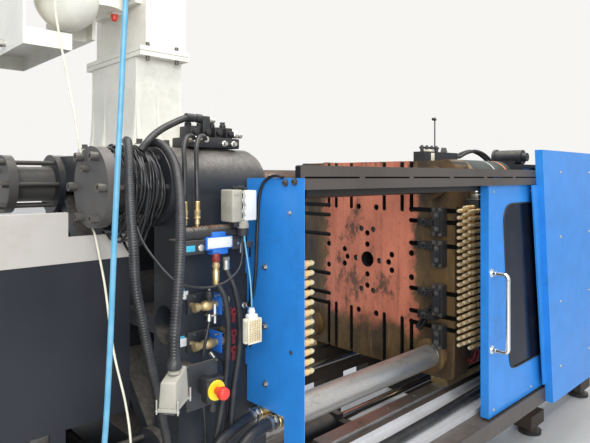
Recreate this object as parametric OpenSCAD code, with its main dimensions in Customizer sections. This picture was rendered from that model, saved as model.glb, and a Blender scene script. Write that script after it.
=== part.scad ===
/* [Platens] */
// Height of the platens' lower edge above the bed
platen_lift = 70; // [60:5:80]
// Width of each platen
platen_w = 1300; // [1280:10:1360]
// Height of each platen
platen_h = 1300; // [1290:10:1330]
// Depth of the fixed platen
fixed_depth = 400; // [360:10:410]
// Thickness of each mould face plate
face_t = 160; // [120:5:180]
// Distance between the mould faces with the mould fully open
daylight = 1449; // [1300:1:1500]
// Width of the T-slots
slot_w = 28; // [18:1:32]
// Radius of the centring bore in the fixed platen
centring_r = 100; // [80:1:125]

/* [Tie bars] */
// Distance of the tie bars from a platen's sides
edge_y = 142; // [136:1:150]
// Distance of the tie bars from a platen's top and bottom
edge_z = 134; // [130:1:145]
// Radius of a tie bar
bar_r = 65; // [55:1:68]
// Radius of the round casings at the platen corners
lobe_r = 145; // [135:1:150]
// Length of the locking groove pitch
groove_pitch = 30; // [26:1:34]
// Radius of an end flange
flange_r = 138; // [132:1:142]
// Thickness of an end flange
flange_t = 40; // [30:1:60]

/* [Guards] */
// Distance of the guards from the platens' sides
guard_gap = 305; // [295:1:325]
// Height of the top rail's upper edge
rail_top = 1911; // [1890:1:1930]
// Height of the top rail's face
rail_h = 86; // [70:1:90]
// Place of the door's leading edge with the door open
door_x = 1306; // [1280:1:1320]
// Length of a sliding door
door_l = 1400; // [1395:1:1420]
// Thickness of a sliding door
door_t = 46; // [36:1:50]
// Wall of the sheet metal covers
sheet_t = 3; // [2:0.5:4]

/* [Injection] */
// Length of the plasticising barrel
barrel_l = 1500; // [1400:10:1550]
// Outer radius of the barrel
barrel_r = 75; // [70:1:80]
// Radius of the screw
screw_r = 40; // [35:1:42]
// Height of the barrel guard
guard_top = 1750; // [1700:5:1800]

/* [Bed] */
// Height of the bed's top face
bed_top = 600; // [590:1:602]
// Half distance between the outer faces of the clamp bed
bed_half = 600; // [590:1:610]
// Width of a bed beam
beam_w = 122; // [110:1:124]
// Number of feet in each row under the clamp bed
foot_n = 5; // [4:1:7]

/* [Hidden] */
$fn = 40;
gap = 0.3;
fit = 0.08;
axis_z = bed_top + platen_lift + platen_h / 2;
platen_top = axis_z + platen_h / 2;
platen_bottom = axis_z - platen_h / 2;
side_y = platen_w / 2;
bar_y = side_y - edge_y;
bar_z = platen_h / 2 - edge_z;
guard_y = side_y + guard_gap;
lobe_back = 430;
lobe_front = 20;
neck_l = 183;
flange_x = lobe_back + neck_l + flange_t;
bolt_circle = flange_r - 20;
slot_start = 345;
slot_neck = 26;
slot_t = 20;
slot_t_w = slot_w + 22;
slot_near = [140, 280];
slot_corner = 350;
eject_r = 19;
face_holes = [[350, 75], [200, 50], [75, 350], [50, 203]];
moving_axis_holes = [100, 175];
fixed_axis_holes = [175];
moving_lobe_l = 790;
lock_x = daylight + moving_lobe_l + 140;
lock_l = 230;
bar_end = lock_x + 240;
groove_w = groove_pitch / 2;
groove_d = 6;
groove_x0 = lock_x - 30 * groove_pitch - lock_l / 2;
groove_n = floor((bar_end - 20 - groove_x0) / groove_pitch);
travel_y = 330;
travel_z = 560;
clamp_x1 = 3677;
inj_x0 = -3700;
inj_x1 = -700;
inj_top = 900;
air_x = -936;
air_z = 490;
clamp_foot_x = [for (i = [0 : foot_n - 1]) -340 + i * (clamp_x1 + 230) / (foot_n - 1)];
inj_foot_x = [-3600, -2700, -1800, -900];
unit_x = -1550;
stroke = 300;
door_z0 = 590;
door_z1 = 1826;
door_y = guard_y - 25;
cover_y = guard_y + 45;
valve_y = side_y + 70;
pillar_x0 = -337;
pillar_x1 = -120;
pillar_y = 215;
column_x0 = -305;
column_y = 240;
head_z = 2370;
head_t = 40;

module box(x0, x1, y0, y1, z0, z1) translate([x0, y0, z0]) cube([x1 - x0, y1 - y0, z1 - z0]);
module x_rod(r, x0, x1) translate([x0, 0, 0]) rotate([0, 90, 0]) cylinder(r = r, h = x1 - x0);
module y_rod(r, y0, y1) translate([0, y1, 0]) rotate([90, 0, 0]) cylinder(r = r, h = y1 - y0);
module at_bars() for (sy = [-1, 1], sz = [-1, 1]) translate([0, sy * bar_y, axis_z + sz * bar_z]) children();
module both_sides() for (s = [0, 1]) mirror([0, s, 0]) children();
module round_rect(w, h, r) {
  square([w - 2 * r, h], center = true);
  square([w, h - 2 * r], center = true);
  for (sx = [-1, 1], sy = [-1, 1]) translate([sx * (w / 2 - r), sy * (h / 2 - r)]) circle(r);
}
module x_plate(x0, x1) translate([x0, 0, axis_z]) rotate([90, 0, 90]) linear_extrude(x1 - x0) children();

// A tube swept along points: rings of a fixed number of sides, closed at both ends
function unit(v) = v / norm(v);
function tangent(p, i) = unit(p[min(i + 1, len(p) - 1)] - p[max(i - 1, 0)]);
function side_of(t) = abs(t[1]) > 0.9 ? unit(cross(t, [1, 0, 0])) : unit(cross(t, [0, 1, 0]));
function spline_at(a, b, c, d, t) =
  0.5 * (2 * b + (c - a) * t + (2 * a - 5 * b + 4 * c - d) * t * t + (3 * b - a - 3 * c + d) * t * t * t);
function smooth(p, n) = [
  for (i = [0 : len(p) - 2], k = [0 : n - 1])
    spline_at(p[max(i - 1, 0)], p[i], p[i + 1], p[min(i + 2, len(p) - 1)], k / n),
  p[len(p) - 1]
];
module tube(p, r, sides = 8) {
  m = len(p);
  pts = [
    for (i = [0 : m - 1]) let (t = tangent(p, i), u = side_of(t), v = cross(t, u))
      for (k = [0 : sides - 1]) p[i] + r * (cos(360 * k / sides) * u + sin(360 * k / sides) * v)
  ];
  skin = [
    for (i = [0 : m - 2], k = [0 : sides - 1])
      [i * sides + k, i * sides + (k + 1) % sides, (i + 1) * sides + (k + 1) % sides, (i + 1) * sides + k]
  ];
  first = [for (k = [sides - 1 : -1 : 0]) k];
  last = [for (k = [0 : sides - 1]) (m - 1) * sides + k];
  polyhedron(points = pts, faces = concat([first, last], skin), convexity = 10);
}

// Routes of the cords and hoses, each a list of chosen points
conduit_r = 16;
route_a = [
  [-452, -530, 1992], [-436, -570, 1990], [-432, -620, 1968], [-445, -700, 1910], [-490, -800, 1830],
  [-540, -890, 1750], [-585, -960, 1660], [-618, -1003, 1560], [-636, -1018, 1470], [-641, -1020, 1430],
  [-641, -1020, 1409], [-641, -1020, 1388]
];
route_b = [
  [-540, -540, 1995], [-560, -590, 1985], [-585, -650, 1930], [-608, -700, 1850], [-628, -750, 1750],
  [-642, -795, 1650], [-645, -815, 1540], [-628, -822, 1440], [-605, -820, 1330], [-575, -808, 1230],
  [-545, -790, 1130], [-510, -765, 1010], [-505, -748, 880], [-512, -728, 760], [-520, -685, 650],
  [-520, -620, 570], [-520, -560, 534], [-520, -525, 530], [-520, -502, 530], [-520, -480, 530]
];
sag_r = 4;
route_sag = [
  [-213, -765, 1700], [-213, -765, 1685], [-213, -765, 1670], [-225, -785, 1610], [-255, -810, 1560],
  [-310, -828, 1528], [-370, -834, 1514], [-430, -835, 1516], [-490, -835, 1532], [-530, -828, 1556],
  [-562, -790, 1606], [-578, -730, 1665], [-574, -670, 1725], [-570, -632, 1762]
];
plug_r = 3;
route_plug = [
  [-222, -790, 1700], [-222, -790, 1685], [-222, -790, 1670], [-232, -818, 1600], [-242, -848, 1530],
  [-248, -863, 1475], [-248, -865, 1450], [-248, -865, 1438], [-248, -865, 1427]
];
air_r = 6;
route_air = [
  [-868, -1215, 2360], [-876, -1218, 2260], [-890, -1225, 2050], [-903, -1230, 1840], [-912, -1232, 1660],
  [-918, -1230, 1500], [-922, -1215, 1320], [-925, -1180, 1150], [-928, -1110, 950], [-932, -1000, 760],
  [-936, -870, 610], [-936, -740, 520], [-936, -640, 492], [-936, -570, 490], [-936, -537, 490],
  [-936, -505, 490]
];
cable_r = 4;
route_white = [
  [-700, -322, 2580], [-700, -322, 2562], [-700, -322, 2540], [-700, -324, 2460], [-682, -332, 2330],
  [-664, -342, 2220], [-645, -355, 2090], [-630, -364, 1975], [-608, -366, 1880], [-596, -378, 1780],
  [-604, -408, 1718], [-616, -440, 1693], [-618, -464, 1672], [-612, -486, 1600], [-604, -516, 1490],
  [-596, -560, 1290], [-584, -622, 1130], [-584, -660, 1010], [-590, -672, 880], [-596, -668, 760],
  [-600, -632, 660], [-600, -572, 586], [-600, -535, 563], [-600, -515, 560], [-600, -500, 560],
  [-600, -490, 560], [-600, -480, 560]
];
hose_r = 13;
route_arc = [
  [-512, -590, 1962], [-490, -590, 1988], [-455, -570, 2015], [-402, -548, 2046], [-326, -525, 2080],
  [-280, -510, 2096], [-262, -508, 2098], [-248, -508, 2098], [-234, -508, 2098]
];
small_hose_r = 8;
route_p1 = [
  [-300, -570, 2010], [-300, -582, 2010], [-300, -594, 2010], [-330, -625, 2019], [-370, -652, 2008],
  [-398, -680, 1968], [-408, -700, 1918], [-416, -714, 1860], [-420, -720, 1812], [-420, -720, 1793],
  [-420, -720, 1775]
];
route_p2 = [
  [-250, -570, 2010], [-250, -582, 2010], [-250, -594, 2010], [-280, -627, 2020], [-320, -656, 2012],
  [-350, -685, 1972], [-361, -702, 1918], [-368, -715, 1860], [-370, -720, 1812], [-370, -720, 1793],
  [-370, -720, 1775]
];
valve_hose_r = 9;
route_v1 = [
  [-312, -748, 1550], [-312, -748, 1530], [-312, -748, 1510], [-306, -762, 1410], [-310, -768, 1310],
  [-328, -768, 1210], [-345, -768, 1100], [-345, -766, 990], [-335, -752, 890], [-322, -715, 818],
  [-320, -690, 804], [-320, -672, 804], [-320, -653, 804]
];
route_v2 = [
  [-269, -748, 1580], [-269, -748, 1560], [-269, -748, 1540], [-256, -766, 1430], [-247, -768, 1300],
  [-248, -756, 1190], [-250, -742, 1090], [-250, -740, 990], [-250, -732, 890], [-250, -706, 818],
  [-250, -688, 804], [-250, -670, 804], [-250, -653, 804]
];
oil_r = 22;
route_o1 = [
  [-105, -745, 1090], [-125, -745, 1090], [-145, -745, 1090], [-212, -765, 1086], [-285, -795, 1060],
  [-355, -808, 1000], [-405, -806, 910], [-425, -795, 810], [-428, -770, 715], [-420, -725, 630],
  [-412, -675, 582], [-410, -642, 570], [-410, -621, 570], [-410, -600, 570]
];
route_o2 = [
  [-105, -815, 1040], [-125, -815, 1040], [-145, -815, 1040], [-212, -828, 1030], [-280, -842, 985],
  [-325, -842, 900], [-342, -828, 800], [-342, -795, 700], [-338, -745, 615], [-336, -690, 560],
  [-335, -645, 545], [-335, -622, 545], [-335, -600, 545]
];
floor_r = 26;
route_floor = [
  [-18, -735, 605], [60, -735, 605], [140, -735, 605], [300, -728, 605], [500, -738, 605],
  [700, -742, 605], [900, -740, 605], [1100, -738, 605], [1300, -732, 605], [1500, -725, 605],
  [1700, -720, 605], [1900, -728, 605], [2060, -735, 605], [2130, -735, 605], [2198, -735, 605]
];

module bed_frame() color([0.24, 0.19, 0.15]) {
  difference() {
    union() {
      both_sides() box(-450, clamp_x1, -bed_half, -bed_half + beam_w, 150, bed_top);
      for (x = [-450, 900, 2200, clamp_x1 - 160])
        box(x, x + 160, -bed_half + beam_w - 1, bed_half - beam_w + 1, 150, 420);
      both_sides() for (x = clamp_foot_x) box(x - 110, x + 110, -bed_half - 60, -bed_half + beam_w, 60, 150);
    }
    both_sides() for (x = [150, 650, 1250, 1750, 2450, 2950]) box(x, x + 300, -bed_half - 1, -bed_half + beam_w + 1, 230, 370);
  }
  difference() {
    union() {
      box(inj_x0, -450 - gap, -520, 520, 60, 150);
      both_sides() box(inj_x0, inj_x1, -480, -380, 150, inj_top);
      both_sides() box(inj_x1 - 1, -450 - gap, -480, -380, 150, bed_top);
      for (x = [inj_x0, -2400, inj_x1 - 120]) box(x, x + 120, -381, 381, 150, inj_top - 60);
      translate([air_x, 0, air_z]) y_rod(16, -505, -479);
    }
    both_sides() for (x = [-3520, -2960, -2220, -1660])
      box(x, x + 480, -481, -379, 250, 780);
  }
}

module foot() {
  cylinder(r = 80, h = 22);
  translate([0, 0, 22]) cylinder(r1 = 70, r2 = 40, h = 18, $fn = 24);
  translate([0, 0, 39]) cylinder(r = 24, h = 21);
}
module machine_feet() color([0.16, 0.16, 0.17]) both_sides() {
  for (x = clamp_foot_x) translate([x, -bed_half, 0]) foot();
  for (x = inj_foot_x) translate([x, -430, 0]) foot();
}

module guide_rails() color([0.55, 0.56, 0.57]) {
  both_sides() difference() {
    box(420, clamp_x1 - 60, -bed_half + 20, -bed_half + 100, bed_top, bed_top + 30);
    for (x = [480 : 240 : clamp_x1 - 120])
      translate([x, -bed_half + 60, bed_top + 18]) cylinder(r = 11, h = 20);
  }
  both_sides() box(inj_x0 + 60, inj_x1 - 60, -424, -384, inj_top, inj_top + 24);
}

module t_slot(l) {
  box(-1, slot_neck, 0, l, -slot_w / 2, slot_w / 2);
  translate([-1, 0, 0]) x_rod(slot_w / 2, 0, slot_neck + slot_t);
  box(slot_neck - 1, slot_neck + slot_t, 0, l, -slot_t_w / 2, slot_t_w / 2);
}
module mould_face(axis_holes) {
  for (sy = [-1, 1], sz = [-1, 1]) {
    for (y = concat(slot_near, [slot_corner]))
      translate([0, sy * y, sz * slot_start]) rotate([sz * 90, 0, 0]) t_slot(platen_h);
    for (z = concat(slot_near, [slot_corner]))
      translate([0, sy * slot_start, sz * z]) rotate([sy > 0 ? 0 : 180, 0, 0]) t_slot(platen_w);
    for (h = face_holes) translate([0, sy * h[0], sz * h[1]]) x_rod(eject_r, -1, face_t + 1);
  }
  for (s = [-1, 1], d = axis_holes) {
    translate([0, s * d, 0]) x_rod(eject_r, -1, face_t + 1);
    translate([0, 0, s * d]) x_rod(eject_r, -1, face_t + 1);
  }
}

module rib_pockets(x0, x1, r, rib) x_plate(x0, x1) difference() {
  square([platen_w - 340, platen_h - 340], center = true);
  circle(r);
  square([platen_w, rib], center = true);
  square([rib, platen_h], center = true);
  rotate(45) square([2 * platen_w, rib], center = true);
  rotate(-45) square([2 * platen_w, rib], center = true);
}

module fixed_platen() color([0.12, 0.13, 0.15]) difference() {
  union() {
    x_plate(-fixed_depth, 0) round_rect(platen_w, platen_h, lobe_r - 5);
    at_bars() x_rod(lobe_r, -lobe_back, -lobe_front);
    both_sides() box(-fixed_depth + 20, -lobe_front, -bed_half + 1, -bed_half + beam_w + 20, bed_top, platen_bottom + 2);
    box(pillar_x0 - 45, pillar_x1 + 45, -pillar_y - 79, pillar_y + 79, platen_top - 20, platen_top + 8);
  }
  rib_pockets(-fixed_depth - 1, -face_t, 250, 60);
  at_bars() {
    x_rod(bar_r, -lobe_back + 5, 1);
    x_rod(bar_r + 40, -lobe_back + 30, -170);
  }
  both_sides() translate([0, -556, axis_z + 16]) x_rod(70, -fixed_depth - 1, -210);
  translate([0, 0, axis_z]) {
    mirror([1, 0, 0]) mould_face(fixed_axis_holes);
    x_rod(centring_r, -35, 1);
    x_rod(60, -fixed_depth, 0);
    translate([-fixed_depth - 1, 0, 0]) rotate([0, 90, 0]) cylinder(r1 = 215, r2 = 70, h = fixed_depth - 60);
  }
}

module cylinder_caps() color([0.33, 0.32, 0.31]) at_bars() difference() {
  union() {
    x_rod(flange_r, -flange_x, -flange_x + flange_t);
    x_rod(85, -flange_x + flange_t - 1, -lobe_back);
  }
  for (a = [0 : 60 : 300]) rotate([a, 0, 0]) translate([0, bolt_circle, 0]) x_rod(10, -flange_x - 1, -flange_x + flange_t + 1);
}

module cap_bolt(l) difference() {
  union() {
    x_rod(15, -28, 0);
    x_rod(10, -1, l);
  }
  translate([-29, 0, 0]) rotate([0, 90, 0]) cylinder(r = 8.5, h = 14, $fn = 6);
}
module cap_bolts() color([0.4, 0.38, 0.35]) {
  at_bars() {
    for (a = [0 : 60 : 300]) rotate([a, 0, 0]) translate([-flange_x, bolt_circle, 0]) cap_bolt(flange_t + neck_l);
    translate([-flange_x, 18, 62]) difference() {
      x_rod(11, -22, 0);
      translate([-23, 0, 0]) rotate([0, 90, 0]) cylinder(r = 6, h = 10, $fn = 6);
    }
  }
  pedestal_bolts();
}
module pedestal_bolts() {
  for (sy = [-1, 1], x = [-303, -166], z = [head_z - 17, head_z + head_t])
    translate([x, sy * 252, z]) cylinder(r = 8, h = 17);
  for (sy = [-1, 1], x = [-350, -226, -107]) translate([x, sy * (pillar_y + 55), platen_top + 32]) {
    cylinder(r = 16, h = 4);
    translate([0, 0, 3]) cylinder(r = 14, h = 20, $fn = 6);
  }
}

module tie_bars() color([0.72, 0.73, 0.74]) at_bars() rotate([0, 90, 0]) rotate_extrude() polygon(concat(
  [[0, -lobe_back + 5], [bar_r, -lobe_back + 5], [bar_r, -380], [bar_r + 39.9, -380], [bar_r + 39.9, -310], [bar_r, -310]],
  [for (i = [1 : groove_n - 1], q = [[0, 0], [-groove_d, 0], [-groove_d, groove_w], [0, groove_w]])
    [bar_r + q[0], groove_x0 + i * groove_pitch + q[1]]],
  [[bar_r, bar_end - 6], [bar_r - 6, bar_end], [0, bar_end]]
));

module traverse_barrels() color([0.15, 0.15, 0.16]) both_sides() translate([0, -travel_y, travel_z]) difference() {
  union() {
    x_rod(48, -380, 760);
    for (x = [-380, 720]) translate([x, 0, 0]) rotate([90, 0, 90]) translate([0, 0, 20]) cube([120, 120, 40], center = true);
    box(-380, -340, -bed_half + beam_w + travel_y, 0, -60, bed_top - travel_z);
    box(720, 760, -bed_half + beam_w + travel_y, 0, -60, 30);
  }
  x_rod(36, -350, 745);
  x_rod(22 + fit, 740, 761);
}
module traverse_rods() color([0.75, 0.76, 0.77]) both_sides() translate([0, -travel_y, travel_z]) {
  x_rod(22, 600, 1760);
  x_rod(36 - fit, 600, 640);
  box(1740, 1800, -40, 40, -40, platen_bottom - travel_z);
}

post_x = -105;
module front_post() color([0.13, 0.45, 0.87]) difference() {
  union() {
    box(post_x, post_x + sheet_t, -guard_y - 18, -side_y - 10, 1013, 1866);
    box(post_x, post_x + sheet_t, -guard_y - 18, -guard_y + 84, 210, 1014);
    box(post_x + 1, -8, -guard_y + 82, -guard_y + 85, 590, 1866);
    box(post_x + 1, -20, -guard_y + 82, -guard_y + 85, 210, 591);
    box(post_x + 1, -60, -guard_y + 35, -guard_y + 38, 210, 1820);
    box(post_x + 1, -20, -side_y - 40, -side_y - 37, 1013, 1866);
    box(post_x + 1, -20, -guard_y + 83, -side_y - 38, 1863, 1866);
    for (z = [1150, 1500, 1710]) box(post_x + 1, post_x + 25, -side_y - 38, -side_y, z, z + 60);
    for (z = [210, 500]) box(post_x + 1, -20, -guard_y + 36, -bed_half, z, z + 6);
  }
  box(post_x - 1, post_x + 5, -side_y - 34, -side_y - 18, 1210, 1600);
}

rail_x0 = post_x + sheet_t;
rail_l = 2060;
rail_d = 24;
slot_l = 300;
slot_step = 331;
track_y = guard_y - 76;
track_z = 1856;
module top_rails() color([0.28, 0.25, 0.24]) both_sides() {
  translate([rail_x0, -guard_y, rail_top - rail_h]) difference() {
    box(0, rail_l, 0, rail_d, 0, rail_h);
    box(-1, rail_l + 1, 4, rail_d + 1, 4, rail_h - 4);
    for (i = [0 : 5]) box(18 + i * slot_step, 18 + i * slot_step + slot_l, -1, 5, 0.46 * rail_h, 0.54 * rail_h);
  }
  box(0, clamp_x1, -track_y, -track_y + 60, rail_top - rail_h - 29, rail_top);
  box(0, clamp_x1, -guard_y + rail_d, -track_y + 1, rail_top - 6, rail_top);
  box(0, clamp_x1, -track_y - 14, -track_y + 1, track_z - 6, track_z);
}

module lower_beams() color([0.27, 0.23, 0.2]) both_sides() {
  difference() {
    box(-20, clamp_x1, -guard_y, -guard_y + 120, 500, 575);
    box(-21, clamp_x1 + 1, -guard_y + 6, -guard_y + 114, 494, 569);
  }
  box(-20, clamp_x1, -guard_y, -guard_y + 5, 570, 588);
  for (x = [200, 1100, 2100, clamp_x1 - 80]) box(x, x + 60, -guard_y + 113, -bed_half, 508, 562);
}

module door_panel() difference() {
  box(door_x, door_x + door_l, -door_y, -door_y + door_t, door_z0, door_z1);
  box(door_x + sheet_t, door_x + door_l - sheet_t, -door_y + sheet_t, -door_y + door_t + 1, door_z0 + sheet_t, door_z1 - sheet_t);
}
roller_r = 20;
module hangers() for (x = [door_x + 90, door_x + door_l - 190]) {
  box(x, x + 100, -door_y + 16, -door_y + 22, door_z1 - 58, track_z + 30);
  translate([x + 50, 0, track_z + roller_r + gap]) y_rod(roller_r, -door_y + 21, -track_y - 1);
}
module lean_window(y0, y1, grow) translate([door_x + 230, 0, 790]) rotate([90, 0, 0]) translate([0, 0, -y1])
  linear_extrude(y1 - y0) polygon([
    [10 - grow, 60], [30, 12 - grow], [90, -grow], [door_l - 420, -grow], [door_l - 370 + grow, 40],
    [door_l - 370 + grow, 880], [door_l - 420, 930 + grow], [30, 930 + grow], [-30, 915 + grow], [-62 - grow, 860]
  ]);
module front_door() color([0.14, 0.47, 0.9]) difference() {
  union() {
    door_panel();
    difference() {
      lean_window(-door_y + 1, -door_y + door_t, 30);
      lean_window(-door_y, -door_y + door_t + 1, 27);
    }
    for (z = [door_z0 + 20, door_z1 - 60]) box(door_x + 2, door_x + door_l - 2, -door_y + 2, -door_y + door_t, z, z + 40);
    hangers();
  }
  lean_window(-door_y - 1, -door_y + door_t + 2, 0);
  for (z = [952, 1359]) translate([door_x + 30, 0, z]) y_rod(5, -door_y - 1, -door_y + 10);
}
module front_window() color([0.2, 0.22, 0.27, 0.6]) lean_window(-door_y + sheet_t, -door_y + sheet_t + 6, 15);
module handle() translate([door_x + 30, 0, 0]) {
  for (z = [952, 1359]) translate([0, 0, z]) {
    y_rod(10, -door_y - 90, -door_y);
    y_rod(18, -door_y - 6, -door_y);
    y_rod(5, -door_y - 1, -door_y + 10);
    translate([0, -door_y - 90, 0]) sphere(10);
  }
  translate([0, -door_y - 90, 952]) cylinder(r = 10, h = 407);
}
module front_handle() color([0.8, 0.82, 0.84]) handle();
module rear_door() color([0.14, 0.47, 0.9]) mirror([0, 1, 0]) {
  door_panel();
  handle();
  for (z = [door_z0 + 20, door_z1 - 60]) box(door_x + 2, door_x + door_l - 2, -door_y + 2, -door_y + door_t, z, z + 40);
  hangers();
}

module cover_outline(x0, lean, z0, z1) polygon([[x0, z1], [x0 + lean, z0], [clamp_x1 + 20, z0], [clamp_x1 + 20, z1]]);
module cover_panel(x0, lean, z0, z1, y0, t) translate([0, y0 + t, 0]) rotate([90, 0, 0]) difference() {
  linear_extrude(t) cover_outline(x0, lean, z0, z1);
  translate([0, 0, -1]) linear_extrude(t - sheet_t + 1) offset(delta = -sheet_t) cover_outline(x0, lean, z0, z1);
}
module clamp_sides(top) {
  cover_panel(1825, 160, 500, top, -cover_y, cover_y - guard_y);
  cover_panel(1765, 160, 620, 1822, -cover_y + 31, 10);
  for (x = [2200, clamp_x1 - 100]) {
    box(x, x + 60, -guard_y - 1, -track_y + 60, top - 30, top - 1);
    box(x, x + 60, -track_y, -track_y + 60, rail_top, top - 1);
  }
}
module front_cover() color([0.16, 0.42, 0.8]) {
  clamp_sides(2030);
  box(clamp_x1 + 20, clamp_x1 + 23, -cover_y, cover_y, 500, 1985);
}
module rear_cover() color([0.16, 0.42, 0.8]) mirror([0, 1, 0]) {
  clamp_sides(1985);
  box(post_x, post_x + sheet_t, -guard_y - 18, -side_y - 10, 210, 1866);
  box(post_x + 1, -8, -guard_y + 82, -guard_y + 85, 590, 1866);
  box(post_x + 1, -20, -guard_y + 82, -guard_y + 85, 210, 591);
  for (z = [900, 1500, 1710]) box(post_x + 1, post_x + 25, -side_y - 11, -side_y, z, z + 60);
}

module drip_tray() color([0.82, 0.82, 0.84]) both_sides() difference() {
  box(-20, 2200, -guard_y + 120, -bed_half - 4, 575, 602);
  box(-18, 2198, -guard_y + 123, -bed_half - 7, 578, 603);
}

foot_z = platen_top + 30;
function flare(a, b, out) = [
  for (q = [[1, 0], [0.5, 0.17], [0.18, 0.4], [0, 0.75], [0, 1]]) [a - out * q[0], foot_z + q[1] * (head_z - foot_z)],
  for (q = [[0, 1], [0, 0.75], [0.18, 0.4], [0.5, 0.17], [1, 0]]) [b + out * q[0], foot_z + q[1] * (head_z - foot_z)]
];
module pedestal() color([0.9, 0.89, 0.85]) {
  difference() {
    union() {
      box(pillar_x0 + 32, pillar_x1 - 26, -pillar_y + 30, pillar_y - 30, foot_z, head_z);
      for (y = [-pillar_y + 18, -75, 93, pillar_y])
        translate([0, y, 0]) rotate([90, 0, 0]) linear_extrude(18) polygon(flare(pillar_x0, pillar_x1, 16));
      for (x = [pillar_x0, pillar_x0 + 95, pillar_x1 - 18])
        translate([x, 0, 0]) rotate([90, 0, 90]) linear_extrude(18) polygon(flare(-pillar_y, pillar_y, 22));
      box(pillar_x0 - 40, pillar_x1 + 40, -pillar_y - 74, pillar_y + 74, platen_top + 8, platen_top + 32);
    }
    translate([-222, 0, platen_top + 7]) cylinder(r = 70, h = 500);
  }
  difference() {
    union() {
      for (z = [head_z, head_z + head_t / 2 + 1]) box(-343, -112, -266, 266, z, z + head_t / 2 - 1);
      box(-330, -125, -255, 255, head_z, head_z + head_t);
      box(column_x0, -113, -column_y, column_y, head_z + head_t - 1, 3700);
      box(-331, column_x0 + 1, -200, 200, 2600, 3700);
      box(-343, -101, -266, 266, 3680, 3720);
    }
    translate([-222, 0, head_z - 1]) cylinder(r = 70, h = 900);
  }
}

module valve_block() color([0.2, 0.2, 0.22]) {
  box(-440, -110, -valve_y - 30, -side_y, 1640, 1652);
  translate([0, -valve_y - 2, 1676]) x_rod(24, -432, -108);
  box(-432, -325, -valve_y - 26, -valve_y + 22, 1606, 1640);
  box(-326, -190, -valve_y - 34, -valve_y + 22, 1590, 1640);
  box(-190, -120, -valve_y - 26, -valve_y + 22, 1606, 1640);
  for (x = [-420, -370]) translate([x, -valve_y, 1695]) {
    cylinder(r = 11, h = 30);
    cylinder(r = 8, h = 80);
  }
  translate([-312, -valve_y - 28, 1550]) cylinder(r = 11, h = 57);
  translate([-269, -valve_y - 28, 1580]) cylinder(r = 11, h = 12);
}

lever_place = [[-225, 1386], [-225, 1310], [-225, 1250]];
lever_l = 38;
module ball_valves() color([0.7, 0.55, 0.3]) {
  for (z = [1420, 1285]) {
    box(-385, -205, -side_y - 12, -side_y, z - 50, z + 70);
    translate([0, -valve_y + 10, z]) x_rod(13, -370, -250);
    for (x = [-370, -282]) translate([x, -valve_y + 10, z]) x_rod(18, 0, 22);
    for (x = [-352, -270]) translate([x, 0, z]) y_rod(9, -valve_y + 10, -side_y - 11);
    box(-262, -256, -valve_y - 20, -side_y - 11, z - 36, z + 36);
  }
  for (p = lever_place) translate([p[0], 0, p[1]]) y_rod(10, -valve_y - 6, -side_y - 11);
}
module valve_lever(p) color([0.78, 0.12, 0.1]) translate([p[0], -valve_y - 6, p[1]]) {
  difference() {
    union() {
      y_rod(14, -12, -gap);
      box(-7, 7, -8, -3, -lever_l, 0);
    }
    y_rod(5, -14, 0);
  }
}

module estop_box() color([0.14, 0.14, 0.15]) {
  difference() {
    box(-450, -350, -870, -795, 1128, 1246);
    translate([-398, 0, 1190]) y_rod(12 + gap, -871, -808);
  }
  translate([-398, 0, 1190]) difference() {
    y_rod(32, -876, -869);
    y_rod(12 + gap, -877, -868);
  }
  box(-462, -340, -797, -790, 1112, 1262);
  box(-420, -380, -792, -side_y, 1150, 1230);
}
module estop_button() color([0.85, 0.12, 0.1]) translate([-398, 0, 1190]) {
  y_rod(12, -890, -820);
  y_rod(20, -915, -889);
  translate([0, -915, 0]) rotate([90, 0, 0]) cylinder(r1 = 20, r2 = 13, h = 10);
}

module connector_box() color([0.72, 0.72, 0.71]) translate([0, -side_y, 0]) {
  difference() {
    box(-273, -171, -150, -68, 1712, 1826);
    box(-267, -177, -144, -62, 1718, 1820);
  }
  box(-271, -173, -71, -65, 1714, 1824);
  box(-250, -200, -66, 0, 1740, 1800);
  translate([-213, -115, 1700]) cylinder(r = 10, h = 13);
  translate([-222, -140, 1700]) cylinder(r = 9, h = 13);
  box(-250, -210, -130, -106, 1825, 1838);
}

module drum_manifold() color([0.17, 0.17, 0.17]) {
  difference() {
    box(-300, -70, -bar_y - 60, -bar_y + 70, platen_top, platen_top + 52);
    translate([0, -bar_y, axis_z + bar_z]) x_rod(lobe_r, -301, -69);
  }
  translate([0, -bar_y, platen_top]) {
    for (i = [0 : 3]) translate([-270 + i * 55, 32, 50]) {
      box(0, 36, -50, 40, 0, 52);
      translate([18, 0, 50]) cylinder(r = 13, h = 24);
    }
    translate([0, 0, 128]) x_rod(17, -234, -180);
    box(-215, -180, -18, 18, 50, 130);
    translate([0, -20, 70]) x_rod(12, -70, -30);
    for (x = [-300, -250]) translate([x, 0, 40]) y_rod(12, -62, -59);
  }
}

module coupler_stack(n, pitch, x0, y0, z0, dir) for (i = [0 : n - 1], c = [0, 1])
  translate([x0, y0 - 34 * c, z0 + i * pitch + c * pitch / 2]) {
    x_rod(8, dir > 0 ? 0 : -70, dir > 0 ? 70 : 0);
    x_rod(12, dir > 0 ? 8 : -30, dir > 0 ? 30 : -8);
    x_rod(10.5, dir > 0 ? 46 : -66, dir > 0 ? 66 : -46);
  }
module fixed_water_manifold() color([0.75, 0.62, 0.35]) {
  box(-60, -10, -side_y - 217, -side_y - 156, 1095, 1580);
  for (z = [1120, 1500]) box(-60, -40, -side_y - 157, -side_y - 40, z, z + 50);
  coupler_stack(12, 37, -11, -side_y - 172, 1120, 1);
}
module moving_water_manifold() color([0.75, 0.62, 0.35]) {
  box(daylight + 71, daylight + 121, -side_y - 110, -side_y - 22, 870, 1740);
  for (z = [950, 1300, 1650]) box(daylight + 71, daylight + 111, -side_y - 23, -side_y, z, z + 50);
  coupler_stack(17, 49, daylight + 72, -side_y - 48, 898, -1);
}

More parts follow.
